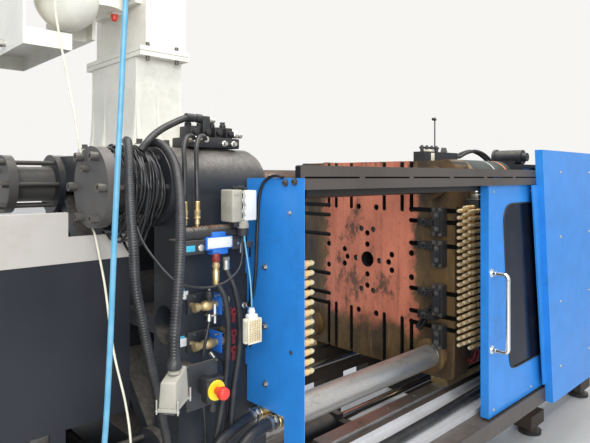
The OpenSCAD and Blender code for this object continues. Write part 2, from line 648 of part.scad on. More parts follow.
guard_x0 = -1850;
module barrel_guard() color([0.75, 0.73, 0.7]) both_sides() difference() {
  union() {
    box(guard_x0, -480, -446, -443, 1020, guard_top);
    box(guard_x0, -480, -446, -425, guard_top - sheet_t, guard_top);
    box(guard_x0, -480, -446, -425, 1020, 1020 + sheet_t);
    box(-483, -480, -446, -425, 1020, guard_top);
    box(guard_x0, -480, -449, -445, 1580, guard_top);
    for (x = [-1780, -1250, -760]) box(x, x + 50, -444, -428, inj_top, 1600);
  }
  box(-flange_x - 50, -470, -460, -420, axis_z + bar_z - flange_r - 30, guard_top + 1);
}

module moving_platen() color([0.8, 0.4, 0.3]) difference() {
  union() {
    x_plate(daylight, daylight + face_t) round_rect(platen_w, platen_h, 50);
    x_plate(daylight + face_t - 1, daylight + 430) round_rect(platen_w, platen_h, lobe_r - 5);
    at_bars() x_rod(lobe_r, daylight + 141, daylight + moving_lobe_l);
    at_bars() x_rod(100, daylight - 45, daylight + 1);
  }
  rib_pockets(daylight + face_t, daylight + 431, 230, 60);
  at_bars() {
    x_rod(bar_r + fit, daylight - 46, daylight + 100);
    x_rod(bar_r + 8, daylight + 99, daylight + moving_lobe_l + 1);
  }
  translate([daylight, 0, axis_z]) {
    mould_face(moving_axis_holes);
    x_rod(52, -1, face_t + 1);
    x_rod(150, face_t - 20, 431);
  }
}
module platen_shoes() color([0.45, 0.4, 0.3]) both_sides() difference() {
  union() {
    box(daylight + 10, daylight + 720, -bed_half + 5, -bed_half + beam_w - 5, bed_top + 30 + gap, platen_bottom);
    box(daylight + 430, daylight + 720, -bed_half + 5, -bed_half + beam_w - 5, platen_bottom - 1, axis_z - bar_z - lobe_r + 12);
  }
  at_bars() x_rod(lobe_r, daylight + 100, daylight + 760);
}

module lock_motor() translate([lock_x + 40, -bar_y, axis_z + bar_z + 175]) {
  y_rod(52, -120, 70);
  y_rod(30, -150, -119);
  y_rod(60, 69, 90);
  box(-45, 45, -80, 60, -58, 0);
}
module lock_housings() color([0.16, 0.17, 0.17]) {
  lock_motor();
  at_bars() lock_housing();
}
module lock_housing() difference() {
  union() {
    box(lock_x - 140, lock_x - 118, -190, 190, -120, 120);
    box(lock_x + 118, lock_x + 140, -190, 190, -120, 120);
    for (s = [-1, 1]) box(lock_x - 119, lock_x + 119, -190, 190, s > 0 ? 98 : -120, s > 0 ? 120 : -98);
    for (s = [-1, 1]) translate([lock_x, 0, 0]) y_rod(34, s > 0 ? 190 : -270, s > 0 ? 270 : -190);
  }
  x_rod(bar_r + 2, lock_x - 141, lock_x + 141);
  for (s = [-1, 1]) translate([lock_x, 0, 0]) y_rod(20, s > 0 ? 150 : -250, s > 0 ? 250 : -150);
}
lock_open = 32;
module half_nut() difference() {
  union() {
    box(lock_x - lock_l / 2, lock_x + lock_l / 2, -130, -0.5, -98 + gap, 98 - gap);
    translate([lock_x, 0, 0]) y_rod(20 - fit, -200, -129);
  }
  rotate([0, 90, 0]) rotate_extrude() polygon(concat(
    [[0, lock_x - lock_l / 2 - 1], [bar_r + 0.6, lock_x - lock_l / 2 - 1]],
    [for (i = [groove_first : groove_first + tooth_n - 1], q = [[0.6, 1], [0.6 - groove_d, 1], [0.6 - groove_d, groove_w - 1], [0.6, groove_w - 1]])
      [bar_r + q[0], groove_x0 + i * groove_pitch + q[1]]],
    [[bar_r + 0.6, lock_x + lock_l / 2 + 1], [0, lock_x + lock_l / 2 + 1]]
  ));
}
groove_first = ceil((lock_x - lock_l / 2 + 4 - groove_x0) / groove_pitch);
tooth_n = floor((lock_l - 20) / groove_pitch);
module lock_halves_front() color([0.5, 0.5, 0.5]) at_bars() translate([0, -lock_open, 0]) half_nut();
module lock_halves_rear() color([0.5, 0.5, 0.5]) at_bars() translate([0, lock_open, 0]) mirror([0, 1, 0]) half_nut();

module clamp_body() {
  box(-45, 0, -50, 70, -22, 22);
  box(-70, -44, -50, -10, -16, 16);
  translate([0, 30, 0]) x_rod(13, -75, -44);
}
module top_block() translate([daylight, -400, platen_top]) {
  box(7, 397, -40, 40, 0, 58);
  for (x = [40, 95, 150, 205]) translate([x, 0, 57]) {
    cylinder(r = 11, h = 22);
    translate([0, 0, 21]) cylinder(r = 17, h = 12);
  }
  translate([154, -20, 57]) cylinder(r = 4, h = 220);
  translate([154, -20, 265]) x_rod(9, -22, 6);
  for (y = [-18, 18]) translate([0, y, 34]) {
    x_rod(14, 396, 425);
    x_rod(11, 424, 450);
  }
}
module mould_clamps() color([0.3, 0.3, 0.31]) {
  top_block();
  for (z = [140, -140, -280, 280]) translate([daylight, -slot_start - 150, axis_z + z]) clamp_body();
  translate([daylight, -430, axis_z - 350]) {
    rotate([35, 0, 0]) difference() {
      box(-30, 0, -18, 18, -30, 150);
      box(-31, 1, -6, 6, -10, 130);
    }
  }
}

module ejector_cylinders() color([0.3, 0.31, 0.32]) translate([0, 0, axis_z]) {
  for (s = [-1, 1]) translate([0, s * 100, 0]) {
    difference() {
      x_rod(38, daylight + 330, daylight + 700);
      x_rod(24, daylight + 340, daylight + 680);
      x_rod(18 + fit, daylight + 320, daylight + 341);
    }
  }
  difference() {
    box(daylight + 430, daylight + 455, -260, 260, -260, 260);
    for (s = [-1, 1]) translate([0, s * 100, 0]) x_rod(38, daylight + 429, daylight + 456);
    x_rod(45, daylight + 429, daylight + 456);
  }
}
module ejector_plate() color([0.62, 0.63, 0.64]) translate([0, 0, axis_z]) {
  difference() {
    box(daylight + 260, daylight + 300, -132, 132, -60, 60);
    x_rod(30, daylight + 259, daylight + 301);
  }
  for (s = [-1, 1]) translate([0, s * 100, 0]) {
    x_rod(18, daylight + 299, daylight + 600);
    x_rod(eject_r - 3, daylight + 20, daylight + 261);
    x_rod(24 - fit, daylight + 560, daylight + 600);
  }
}

module carriage() color([0.35, 0.36, 0.38]) {
  difference() {
    union() {
      box(unit_x - 300, unit_x, -260, 260, 1080, 1560);
      box(unit_x - 1400, unit_x, -420, 420, 1000, 1082);
      both_sides() for (x = [unit_x - 1390, unit_x - 190]) box(x, x + 180, -420, -388, inj_top + 24 + gap, 1001);
      box(unit_x - 1400, unit_x - 1340, -260, 260, 1080, 1560);
    }
    translate([0, 0, axis_z]) x_rod(barrel_r, unit_x - 301, unit_x + 1);
    translate([0, 0, axis_z]) x_rod(90, unit_x - 1401, unit_x - 1339);
    translate([hopper_x, 0, axis_z]) cylinder(r = 40, h = 300);
    for (sy = [-1, 1]) translate([0, sy * 190, axis_z]) x_rod(30, unit_x - 1401, unit_x + 1);
  }
  for (sy = [-1, 1]) translate([0, sy * 190, axis_z]) x_rod(30, unit_x - 1430, unit_x + 20);
}
hopper_x = unit_x - 150;
nozzle_x = unit_x + barrel_l;
band_l = 200;
band_step = 235;
module barrel() color([0.6, 0.6, 0.6]) translate([0, 0, axis_z]) difference() {
  union() {
    x_rod(barrel_r, unit_x - 300, nozzle_x - 250);
    translate([nozzle_x - 250, 0, 0]) rotate([0, 90, 0]) cylinder(r1 = barrel_r, r2 = 35, h = 60);
    x_rod(35, nozzle_x - 191, nozzle_x - 60);
    translate([nozzle_x - 60, 0, 0]) rotate([0, 90, 0]) cylinder(r1 = 35, r2 = 18, h = 50);
    for (i = [0 : 4]) translate([unit_x + 50 + i * band_step, 0, 0]) {
      x_rod(barrel_r + 9, 0, band_l);
      box(70, 120, -16, 16, barrel_r, barrel_r + 40);
    }
  }
  x_rod(screw_r + fit, unit_x - 301, nozzle_x - 260);
  x_rod(8, nozzle_x - 270, nozzle_x);
  translate([hopper_x, 0, 0]) cylinder(r = 30, h = 100);
}
hinge_y = 290;
hinge_z = 2394;
module hopper() color([0.13, 0.42, 0.8]) translate([hopper_x, 0, 0]) {
  difference() {
    union() {
      box(-70, 70, -70, 70, 1560, 1680);
      translate([0, 0, 1679]) cylinder(r1 = 75, r2 = 270, h = 320);
      translate([0, 0, 1998]) cylinder(r = 270, h = 420);
      for (sx = [-1, 1]) translate([sx * 42, hinge_y, 0]) box(-5, 5, -26, 10, 2382, hinge_z + 10);
    }
    translate([0, 0, 1559]) cylinder(r = 40, h = 200);
    translate([0, 0, 1682]) cylinder(r1 = 72, r2 = 267, h = 317);
    translate([0, 0, 1998.9]) cylinder(r = 267, h = 420);
  }
  translate([0, hinge_y, hinge_z]) x_rod(5, -42, 42);
}
module hopper_lid() color([0.13, 0.42, 0.8]) translate([hopper_x, 0, 0]) {
  difference() {
    translate([0, 0, 2405]) cylinder(r = 278, h = 19);
    translate([0, 0, 2404]) cylinder(r = 271, h = 14 + gap);
  }
  translate([0, 0, 2423]) box(-60, 60, -6, 6, 0, 26);
  difference() {
    union() {
      box(-36, 36, 272, hinge_y + 9, 2405, 2418);
      box(-36, 36, hinge_y - 9, hinge_y + 9, hinge_z, 2418);
      translate([0, hinge_y, hinge_z]) x_rod(10, -36, 36);
    }
    translate([0, hinge_y, hinge_z]) x_rod(5 + fit, -37, 37);
  }
}
module drive_unit() color([0.3, 0.31, 0.33]) translate([unit_x, 0, axis_z]) {
  difference() {
    union() {
      box(-1110, -910, -250, 250, -220, 220);
      x_rod(150, -1330, -1110);
    }
    for (sy = [-1, 1]) translate([0, sy * 190, 0]) x_rod(30 + fit, -1350, -900);
    x_rod(45, -1010, -909);
    x_rod(screw_r - 5, -1150, -909);
  }
}
module screw() color([0.7, 0.7, 0.7]) translate([0, 0, axis_z]) {
  tip = nozzle_x - 330 - stroke;
  x_rod(screw_r - 12, unit_x - 290, tip);
  x_rod(screw_r, unit_x - 350, unit_x - 230);
  x_rod(screw_r - 6, unit_x - 1100, unit_x - 349);
  for (x = [unit_x - 50 : 90 : tip - 20]) x_rod(screw_r, x, x + 10);
  translate([tip - 1, 0, 0]) rotate([0, 90, 0]) cylinder(r1 = screw_r - 12, r2 = 8, h = 50);
}
module vertical_carriage() color([0.9, 0.9, 0.88]) {
  difference() {
    box(-800, -632, -300, 240, 2332, 2392);
    box(-796, -636, -296, 236, 2331, 2388);
  }
  box(-800, -792, -300, 240, 2391, 3300);
  box(-793, -600, -60, 60, 2640, 3200);
  difference() {
    box(-800, -680, -345, -299, 2560, 2680);
    translate([-700, -322, 2559]) cylinder(r = cable_r + gap, h = 21);
  }
  translate([-600, -165, 2555]) {
    sphere(118);
    cylinder(r = 118, h = 745);
  }
  translate([-450, -125, 2554]) cylinder(r = 90, h = 746);
  box(-600, -465, -60, 60, 2432, 2510);
  box(-480, -465, -120, 120, 2432, 3300);
  box(-480, -345, -120, 120, 2620, 3300);
  box(-345 - gap, -331 - gap, -200, 200, 2620, 3300);
  difference() {
    box(-410, -370, -150, -110, 2549, 2700);
    box(-395, -385, -151, -130, 2590, 2660);
  }
}

module hood_connector() color([0.68, 0.66, 0.6]) translate([-641, -1020, 0]) rotate(38) {
  translate([0, 0, 1352]) cylinder(r = 22, h = 36);
  rotate([90, 0, 0]) translate([0, 0, -25]) linear_extrude(50) polygon([
    [-46, 1258], [44, 1258], [50, 1275], [46, 1335], [24, 1353], [-24, 1353], [-50, 1318], [-52, 1275]
  ]);
  box(-40, 38, -20, 20, 1240, 1260);
}
module plug_insert() color([0.88, 0.86, 0.78]) {
  translate([-248, -865, 1400]) cylinder(r = 13, h = 27);
  box(-273, -223, -878, -852, 1385, 1401);
  difference() {
    box(-282, -214, -884, -848, 1288, 1386);
    for (i = [0 : 4], j = [0, 1]) translate([-274 + i * 13, 0, 1318 + j * 40]) y_rod(4, -885, -866);
  }
}
module conduit_a() color([0.13, 0.13, 0.14]) tube(smooth(route_a, 4), conduit_r, 10);
module conduit_b() color([0.13, 0.13, 0.14]) tube(smooth(route_b, 4), conduit_r, 10);
module sensor_cable() color([0.2, 0.2, 0.21]) tube(smooth(route_sag, 5), sag_r);
module plug_cord() color([0.35, 0.65, 0.85]) tube(smooth(route_plug, 6), plug_r);
module air_hose() color([0.35, 0.62, 0.86]) tube(smooth(route_air, 4), air_r);
module white_cable() color([0.88, 0.87, 0.82]) tube(smooth(route_white, 4), cable_r);
module manifold_hoses() color([0.16, 0.16, 0.17]) {
  tube(smooth(route_arc, 3), hose_r, 10);
  tube(smooth(route_p1, 3), small_hose_r);
  tube(smooth(route_p2, 3), small_hose_r);
}
module valve_hoses() color([0.12, 0.12, 0.13]) {
  tube(smooth(route_v1, 2), valve_hose_r);
  tube(smooth(route_v2, 2), valve_hose_r);
}
module oil_hoses() color([0.12, 0.12, 0.13]) {
  tube(smooth(route_o1, 3), oil_r, 10);
  tube(smooth(route_o2, 3), oil_r, 10);
}
module floor_hose() color([0.12, 0.12, 0.13]) tube(smooth(route_floor, 2), floor_r, 10);
module cable_coil() color([0.11, 0.11, 0.12]) translate([0, -bar_y, axis_z + bar_z]) rotate([0, 90, 0])
  difference() {
    translate([0, 0, -590]) cylinder(r = bolt_circle + 34, h = 140);
    translate([0, 0, -591]) cylinder(r = bolt_circle + 10, h = 142);
  }

bed_frame();
machine_feet();
guide_rails();
fixed_platen();
cylinder_caps();
cap_bolts();
tie_bars();
traverse_barrels();
front_post();
top_rails();
lower_beams();
front_cover();
rear_cover();
drip_tray();
pedestal();
valve_block();
ball_valves();
estop_box();
connector_box();
drum_manifold();
fixed_water_manifold();
barrel_guard();
moving_platen();
platen_shoes();
traverse_rods();
lock_housings();
mould_clamps();
moving_water_manifold();
ejector_cylinders();
lock_halves_front();
lock_halves_rear();
ejector_plate();
front_door();
front_window();
front_handle();
rear_door();
carriage();
barrel();
hopper();
hopper_lid();
drive_unit();
screw();
vertical_carriage();
estop_button();
valve_lever(lever_place[0]);  // valve_lever_1
valve_lever(lever_place[1]);  // valve_lever_2
valve_lever(lever_place[2]);  // valve_lever_3
hood_connector();
plug_insert();
conduit_a();
conduit_b();
sensor_cable();
plug_cord();
air_hose();
white_cable();
manifold_hoses();
valve_hoses();
oil_hoses();
floor_hose();
cable_coil();
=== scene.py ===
import math, random
import bpy, bmesh
from mathutils import Matrix, Vector


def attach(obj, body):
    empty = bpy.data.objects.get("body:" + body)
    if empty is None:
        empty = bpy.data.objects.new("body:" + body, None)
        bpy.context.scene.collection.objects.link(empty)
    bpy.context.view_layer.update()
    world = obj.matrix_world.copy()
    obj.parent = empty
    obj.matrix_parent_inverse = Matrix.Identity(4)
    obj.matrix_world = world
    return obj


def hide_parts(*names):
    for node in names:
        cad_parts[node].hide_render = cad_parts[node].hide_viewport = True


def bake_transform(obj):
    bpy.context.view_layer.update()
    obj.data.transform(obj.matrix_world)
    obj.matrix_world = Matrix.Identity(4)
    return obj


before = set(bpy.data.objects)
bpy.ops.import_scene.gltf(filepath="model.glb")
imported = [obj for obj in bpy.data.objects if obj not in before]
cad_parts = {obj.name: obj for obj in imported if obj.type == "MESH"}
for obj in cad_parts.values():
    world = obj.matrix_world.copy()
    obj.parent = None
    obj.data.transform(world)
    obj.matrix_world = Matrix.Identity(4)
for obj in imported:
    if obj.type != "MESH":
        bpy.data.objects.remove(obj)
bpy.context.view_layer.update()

chance = random.Random(41)
TAU = 2 * math.pi
MM = 1000  # millimetres in a metre

# Camera at the photograph's place, looking level across the mould space
CAMERA_PLACE, LOOKS_ALONG = (-1.409, -2.296, 1.87), (0.690, 0.724)
LENS, FILM_WIDTH, SHIFT = 33.07, 36, -0.0754
camera_data = bpy.data.cameras.new("camera")
camera_data.lens = LENS
camera_data.sensor_width = FILM_WIDTH
camera_data.shift_y = SHIFT
camera_data.clip_end = 200
camera = bpy.data.objects.new("camera", camera_data)
bpy.context.collection.objects.link(camera)
camera.location = CAMERA_PLACE
camera.rotation_euler = (math.pi / 2, 0, -math.atan2(*LOOKS_ALONG))
bpy.context.scene.camera = camera


def link(tree, value, socket):
    """Give a socket a number or a colour, or the output of another node."""
    if isinstance(value, bpy.types.NodeSocket):
        tree.links.new(value, socket)
    elif isinstance(value, (tuple, list)) and len(value) == 3 and len(socket.default_value) == 4:
        socket.default_value = (*value, 1)
    else:
        socket.default_value = value


def new_node(tree, kind, values, **settings):
    """A new shader node with values for its inputs, by index or name. Gives its outputs."""
    made = tree.nodes.new("ShaderNode" + kind)
    for key, value in settings.items():
        setattr(made, key, value)
    for key, value in values.items():
        link(tree, value, made.inputs[key])
    return made.outputs


class Finish:
    """A material as a node tree on Object coordinates; slot holds the name of a record's slot for it, which nothing
    here reads.
    """
    slot = None

    def __init__(self, name, rough=0.5, metal=0.0, specular=0.5):
        self.material = bpy.data.materials.new(name)
        self.material.use_nodes = True
        self.tree = self.material.node_tree
        self.shader = self.tree.nodes["Principled BSDF"].inputs
        self.shader["Roughness"].default_value = rough
        self.shader["Metallic"].default_value = metal
        self.shader["Specular IOR Level"].default_value = specular
        self.place = self.node("TexCoord", {})["Object"]

    def node(self, kind, values, **settings):
        return new_node(self.tree, kind, values, **settings)

    def stretched(self, scale):
        return self.place if scale is None else self.node("Mapping", {"Vector": self.place, "Scale": scale})[0]

    def noise(self, scale, detail=4, rough=0.55, stretch=None):
        values = {"Vector": self.stretched(stretch), "Scale": scale, "Detail": detail, "Roughness": rough}
        return self.node("TexNoise", values)["Fac"]

    def cells(self, scale, stretch):
        return self.node("TexVoronoi", {"Vector": self.stretched(stretch), "Scale": scale})["Distance"]

    def steps(self, value, low, high):
        values = {"Value": value, "From Min": low, "From Max": high}
        return self.node("MapRange", values, interpolation_type="SMOOTHSTEP")["Result"]

    def cloud(self, low, high, *noise):
        """Soft patches: a noise cut between two of its values."""
        return self.steps(self.noise(*noise), low, high)

    def sums(self, operation, a, b=0.0):
        return self.node("Math", {0: a, 1: b}, operation=operation)[0]

    def times(self, a, b):
        return self.sums("MULTIPLY", a, b)

    def along(self, axis):
        return self.node("SeparateXYZ", {0: self.place})[axis]

    def facing_up(self):
        return self.node("SeparateXYZ", {0: self.node("NewGeometry", {})["Normal"]})["Z"]

    def mix(self, share, a, b):
        return self.node("Mix", {0: share, 6: a, 7: b}, data_type="RGBA")[2]

    def colour(self, out):
        link(self.tree, out, self.shader["Base Color"])

    def gloss(self, low, high, value):
        rough = self.node("MapRange", {"Value": value, "To Min": low, "To Max": high})["Result"]
        link(self.tree, rough, self.shader["Roughness"])

    def relief(self, height, strength, distance):
        values = {"Strength": strength, "Distance": distance, "Height": height}
        link(self.tree, self.node("Bump", values)["Normal"], self.shader["Normal"])

    def between(self, axis, low, high, soft=0.0005):
        """One inside a slab between two places along an axis, nought outside it."""
        edges = [self.steps(self.along(axis), edge - soft, edge + soft) for edge in (low, high)]
        return self.sums("SUBTRACT", *edges)


def painted(name, colour, dirt, rough, grime, orange_peel, top_colour=None):
    """Paint with a slight mottle, grime in soft patches, an uneven gloss and dust on what faces up."""
    made = Finish(name)
    patches = made.cloud(0.46, 0.78, 2.6, 6, 0.62)
    fine = made.cloud(0.35, 0.75, 38, 5)
    share = made.times(made.times(patches, fine), grime)
    base = made.mix(made.cloud(0.3, 0.7, 9, 3), colour, [c * 0.9 for c in colour])
    out = made.mix(share, base, dirt)
    if top_colour:
        lying = made.steps(made.facing_up(), 0.35, 0.95)
        lying = made.times(lying, made.cloud(0.2, 0.62, 14, 6, 0.7))
        out = made.mix(lying, out, top_colour)
    made.colour(out)
    made.gloss(rough - 0.07, rough + 0.12, made.noise(7, 4))
    made.relief(made.noise(420, 2), orange_peel, 0.0006)
    return made


def machined(name, colour, rough, metal, lay, stain, stain_share=0.5):
    """Bare metal with fine tool marks along one direction and a few oily stains."""
    made = Finish(name, metal=metal)
    marks = made.noise(160, 3, 0.6, lay)
    out = made.mix(made.steps(marks, 0.3, 0.7), colour, [c * 0.82 for c in colour])
    share = made.times(made.cloud(0.5, 0.75, 5, 6, 0.65), stain_share)
    out = made.mix(share, out, stain)
    made.colour(out)
    made.gloss(rough - 0.06, rough + 0.14, marks)
    made.relief(marks, 0.12, 0.0004)
    return made


def moulded(name, colour, rough, scale, strength, worn=None):
    """Plastic or rubber with a fine grain and a little wear."""
    made = Finish(name)
    out = made.mix(made.cloud(0.35, 0.75, 22, 4), colour, worn or [min(1, c * 1.25 + 0.01) for c in colour])
    made.colour(out)
    made.gloss(rough - 0.06, rough + 0.1, made.noise(30, 3))
    made.relief(made.noise(scale, 2), strength, 0.0004)
    return made


def blue_coat():
    """Smooth bright blue powder coat with a few pale scuffs."""
    made = painted("blue_coat", (0.024, 0.225, 0.66), (0.014, 0.06, 0.16), 0.36, 0.3, 0.1)
    scuffs = made.steps(made.cells(5.2, (1, 1, 0.35)), 0.0, 0.028)
    scuffs = made.times(made.sums("SUBTRACT", 1.0, scuffs), made.cloud(0.5, 0.56, 40, 3))
    before = made.shader["Base Color"].links[0].from_socket
    made.colour(made.mix(scuffs, before, (0.62, 0.68, 0.74)))
    return made


def platen_coat():
    """The moving platen: salmon coat in the middle, olive stains beside it, dark castings behind, and painted shade,
    near black, in its holes and recesses just behind the face.
    """
    made = Finish("platen_coat", rough=0.5)
    depth, across, height = (made.along(k) for k in ("X", "Y", "Z"))
    salmon = made.mix(made.cloud(0.35, 0.7, 6, 7, 0.7, (1, 1, 0.35)), (0.60, 0.195, 0.115), (0.40, 0.115, 0.066))
    streaks = made.cloud(0.55, 0.72, 26, 5, 0.75, (1, 1, 0.06))
    salmon = made.mix(made.times(streaks, 0.6), salmon, (0.15, 0.055, 0.03))
    specks = made.cloud(0.57, 0.66, 45, 6, 0.8)
    salmon = made.mix(made.times(specks, 0.6), salmon, (0.12, 0.055, 0.03))
    olive = made.mix(made.cloud(0.35, 0.65, 4, 6, 0.7, (1, 1, 0.5)), (0.115, 0.068, 0.024), (0.035, 0.022, 0.014))
    olive = made.mix(made.cloud(0.52, 0.75, 20, 5, 0.75, (1, 1, 0.1)), olive, (0.2, 0.118, 0.045))
    wobble = made.times(made.sums("SUBTRACT", made.noise(3.4, 6, 0.75), 0.5), 0.34)
    near = made.steps(made.sums("ADD", across, wobble), -0.40, -0.335)
    far = made.steps(made.sums("ADD", across, wobble), 0.345, 0.40)
    foot = made.steps(made.sums("ADD", height, wobble), 0.86, 0.99)
    coated = made.times(made.times(near, made.sums("SUBTRACT", 1.0, far)), foot)
    face = made.mix(coated, olive, salmon)
    blot = made.cloud(0.54, 0.63, 3.1, 7, 0.78, (1, 1, 0.6))
    face = made.mix(made.times(blot, 0.86), face, (0.05, 0.034, 0.022))
    cast = made.mix(made.cloud(0.4, 0.7, 12, 5), (0.018, 0.028, 0.026), (0.035, 0.045, 0.04))
    rim = made.between("X", 1.63, 1.71, 0.004)
    cast = made.mix(rim, cast, (0.19, 0.11, 0.035))
    stripe = made.between("X", 1.98, 1.995, 0.001)
    cast = made.mix(stripe, cast, (0.6, 0.58, 0.52))
    mark = made.between("X", 2.14, 2.165, 0.001)
    cast = made.mix(mark, cast, (0.6, 0.2, 0.06))
    behind = made.steps(depth, 1.4498, 1.4506)
    # Painted shade: inside the platen's outline, what lies between X 1.44 and 1.608 just behind the face, the walls of
    # its holes and recesses, is painted near black
    back_with_hole_shade = made.mix(made.between("X", 1.44, 1.608, 0.001), cast, (0.011, 0.010, 0.009))
    outer = made.sums("MAXIMUM", made.steps(made.sums("ABSOLUTE", across), 0.640, 0.646),
            made.steps(made.sums("ABSOLUTE", made.sums("SUBTRACT", height, 1.320)), 0.640, 0.646))
    back_with_hole_shade = made.mix(outer, back_with_hole_shade, made.mix(made.between("X", 1.44, 1.61, 0.001), cast, olive))
    made.colour(made.mix(behind, face, back_with_hole_shade))
    made.gloss(0.36, 0.62, made.noise(8, 5))
    made.relief(made.noise(70, 6, 0.7), 0.35, 0.0012)
    return made


def black_casting():
    """Black painted casting, smooth below its seams, with a lighter grey on what faces up that is partly dust and
    partly painted top light.
    """
    made = Finish("black_casting", rough=0.42)
    base = made.mix(made.cloud(0.35, 0.7, 3, 6, 0.6), (0.014, 0.017, 0.022), (0.026, 0.028, 0.033))
    rubbed = made.cloud(0.58, 0.75, 11, 7, 0.75, (1, 1, 0.5))
    base = made.mix(made.times(rubbed, 0.45), base, (0.075, 0.07, 0.062))
    # What faces up is painted a lighter grey: partly dust, partly painted top light
    up = made.steps(made.facing_up(), 0.12, 0.7)
    grain = made.cloud(0.28, 0.7, 55, 6, 0.75)
    top_colour = made.mix(grain, (0.055, 0.048, 0.042), (0.135, 0.12, 0.105))
    lying = made.times(up, made.cloud(0.22, 0.5, 5, 6, 0.7))
    made.colour(made.mix(lying, base, top_colour))
    made.gloss(0.3, 0.55, made.noise(6, 4))
    made.relief(made.noise(90, 5, 0.65), 0.25, 0.001)
    return made


def guard_sheet():
    """Powder coated guard: a warm grey band above, anthracite below."""
    made = Finish("guard_sheet", rough=0.45, specular=0.35)
    band = made.steps(made.along("Z"), 1.579, 1.581)
    dark = made.mix(made.cloud(0.35, 0.7, 2.2, 5), (0.012, 0.0135, 0.02), (0.017, 0.019, 0.026))
    pale = made.mix(made.cloud(0.4, 0.7, 3, 6, 0.7), (0.43, 0.4, 0.37), (0.36, 0.33, 0.3))
    made.colour(made.mix(band, dark, pale))
    made.gloss(0.32, 0.5, made.noise(5, 3))
    made.relief(made.noise(300, 2), 0.1, 0.0005)
    return made


BLUE = blue_coat()
CAST = black_casting()
DARK = painted("dark_coat", (0.016, 0.016, 0.018), (0.045, 0.038, 0.03), 0.4, 0.5, 0.15, (0.07, 0.06, 0.052))
BROWN = painted("brown_coat", (0.062, 0.052, 0.046), (0.028, 0.024, 0.02), 0.42, 0.4, 0.12, (0.10, 0.086, 0.075))
BED = painted("bed_coat", (0.038, 0.026, 0.018), (0.012, 0.0095, 0.008), 0.56, 0.8, 0.2, (0.06, 0.04, 0.028))
GREY = painted("grey_coat", (0.085, 0.087, 0.093), (0.05, 0.045, 0.04), 0.42, 0.4, 0.12)
WHITE = painted("white_coat", (0.74, 0.72, 0.645), (0.46, 0.42, 0.34), 0.34, 0.45, 0.12)
DUSTY = painted("dusty_flange", (0.078, 0.074, 0.07), (0.04, 0.037, 0.034), 0.55, 0.5, 0.3, (0.17, 0.155, 0.14))
BOLT = machined("blackened_bolt", (0.13, 0.12, 0.11), 0.42, 0.6, (1, 1, 1), (0.16, 0.14, 0.12))
CHROME = machined("chromed_bar", (0.8, 0.81, 0.82), 0.16, 1.0, (0.4, 8, 8), (0.34, 0.32, 0.3), 0.55)
GROUND = machined("ground_steel", (0.6, 0.6, 0.6), 0.3, 1.0, (0.3, 4, 4), (0.3, 0.26, 0.2), 0.6)
ZINC = machined("zinc_steel", (0.66, 0.65, 0.6), 0.32, 1.0, (3, 3, 3), (0.4, 0.36, 0.26), 0.5)
BRASS = machined("dull_brass", (0.66, 0.49, 0.24), 0.3, 1.0, (3, 3, 3), (0.32, 0.22, 0.1), 0.6)
PALE = machined("pale_sheet", (0.74, 0.74, 0.76), 0.38, 0.3, (2, 2, 2), (0.45, 0.43, 0.4), 0.5)
HANDLE = machined("polished_handle", (0.86, 0.87, 0.88), 0.14, 1.0, (6, 6, 1), (0.6, 0.6, 0.6), 0.3)
RUBBER = moulded("hose_rubber", (0.013, 0.0135, 0.016), 0.36, 500, 0.3, (0.03, 0.029, 0.029))
JACKET = moulded("cable_jacket", (0.012, 0.0125, 0.0145), 0.3, 300, 0.1, (0.026, 0.026, 0.028))
RIBBED = moulded("ribbed_conduit", (0.011, 0.0115, 0.014), 0.3, 300, 0.1, (0.028, 0.028, 0.03))
BLACK_PLASTIC = moulded("black_plastic", (0.014, 0.014, 0.016), 0.42, 700, 0.3)
IVORY = moulded("ivory_plastic", (0.74, 0.7, 0.56), 0.4, 500, 0.2, (0.6, 0.55, 0.42))
DIECAST = moulded("diecast_hood", (0.36, 0.34, 0.285), 0.42, 500, 0.3, (0.29, 0.275, 0.23))
RED = moulded("red_plastic", (0.72, 0.045, 0.03), 0.3, 500, 0.1, (0.58, 0.035, 0.025))
DULL_RED = moulded("dull_red", (0.26, 0.022, 0.02), 0.42, 400, 0.15, (0.16, 0.02, 0.018))
AIR_BLUE = moulded("blue_hose", (0.085, 0.28, 0.43), 0.36, 200, 0.1, (0.14, 0.36, 0.51))
CREAM = moulded("cream_jacket", (0.72, 0.69, 0.55), 0.4, 200, 0.1, (0.6, 0.57, 0.46))
OXBLOOD = moulded("oxblood_hose", (0.14, 0.012, 0.02), 0.32, 300, 0.1, (0.2, 0.02, 0.03))
LABEL_WHITE = moulded("bare_plate", (0.72, 0.73, 0.74), 0.35, 100, 0.05, (0.6, 0.61, 0.63))
SKY = moulded("sky_plate", (0.05, 0.42, 0.62), 0.35, 100, 0.05, (0.05, 0.36, 0.54))
YELLOW = moulded("yellow_ring", (0.85, 0.62, 0.02), 0.35, 300, 0.1, (0.75, 0.5, 0.02))
DUSTY_TUBE = painted("dusty_tube", (0.03, 0.029, 0.03), (0.1, 0.06, 0.035), 0.5, 0.9, 0.3, (0.19, 0.16, 0.135))
VALVE_BLUE = moulded("valve_blue", (0.018, 0.13, 0.52), 0.34, 300, 0.1, (0.03, 0.17, 0.56))
COUPLER = machined("worn_coupler", (0.60, 0.46, 0.24), 0.36, 0.75, (3, 3, 3), (0.3, 0.2, 0.09), 0.7)
# Coupling racks' brass, painted brighter and less metallic than BRASS and COUPLER: painted reflection of the window
# light
LIT_RACK_BRASS = machined("rack_brass_lit", (0.84, 0.58, 0.26), 0.34, 0.25, (3, 3, 3), (0.46, 0.30, 0.14), 0.6)
RACK_TIP = machined("rack_tip", (0.74, 0.63, 0.43), 0.32, 0.4, (3, 3, 3), (0.5, 0.42, 0.28), 0.5)
PALE_BOX = painted("pale_box", (0.66, 0.655, 0.63), (0.4, 0.37, 0.33), 0.4, 0.4, 0.12, (0.5, 0.47, 0.42))
RUST = painted("rust_crumb", (0.2, 0.085, 0.035), (0.1, 0.05, 0.03), 0.7, 0.8, 0.3)


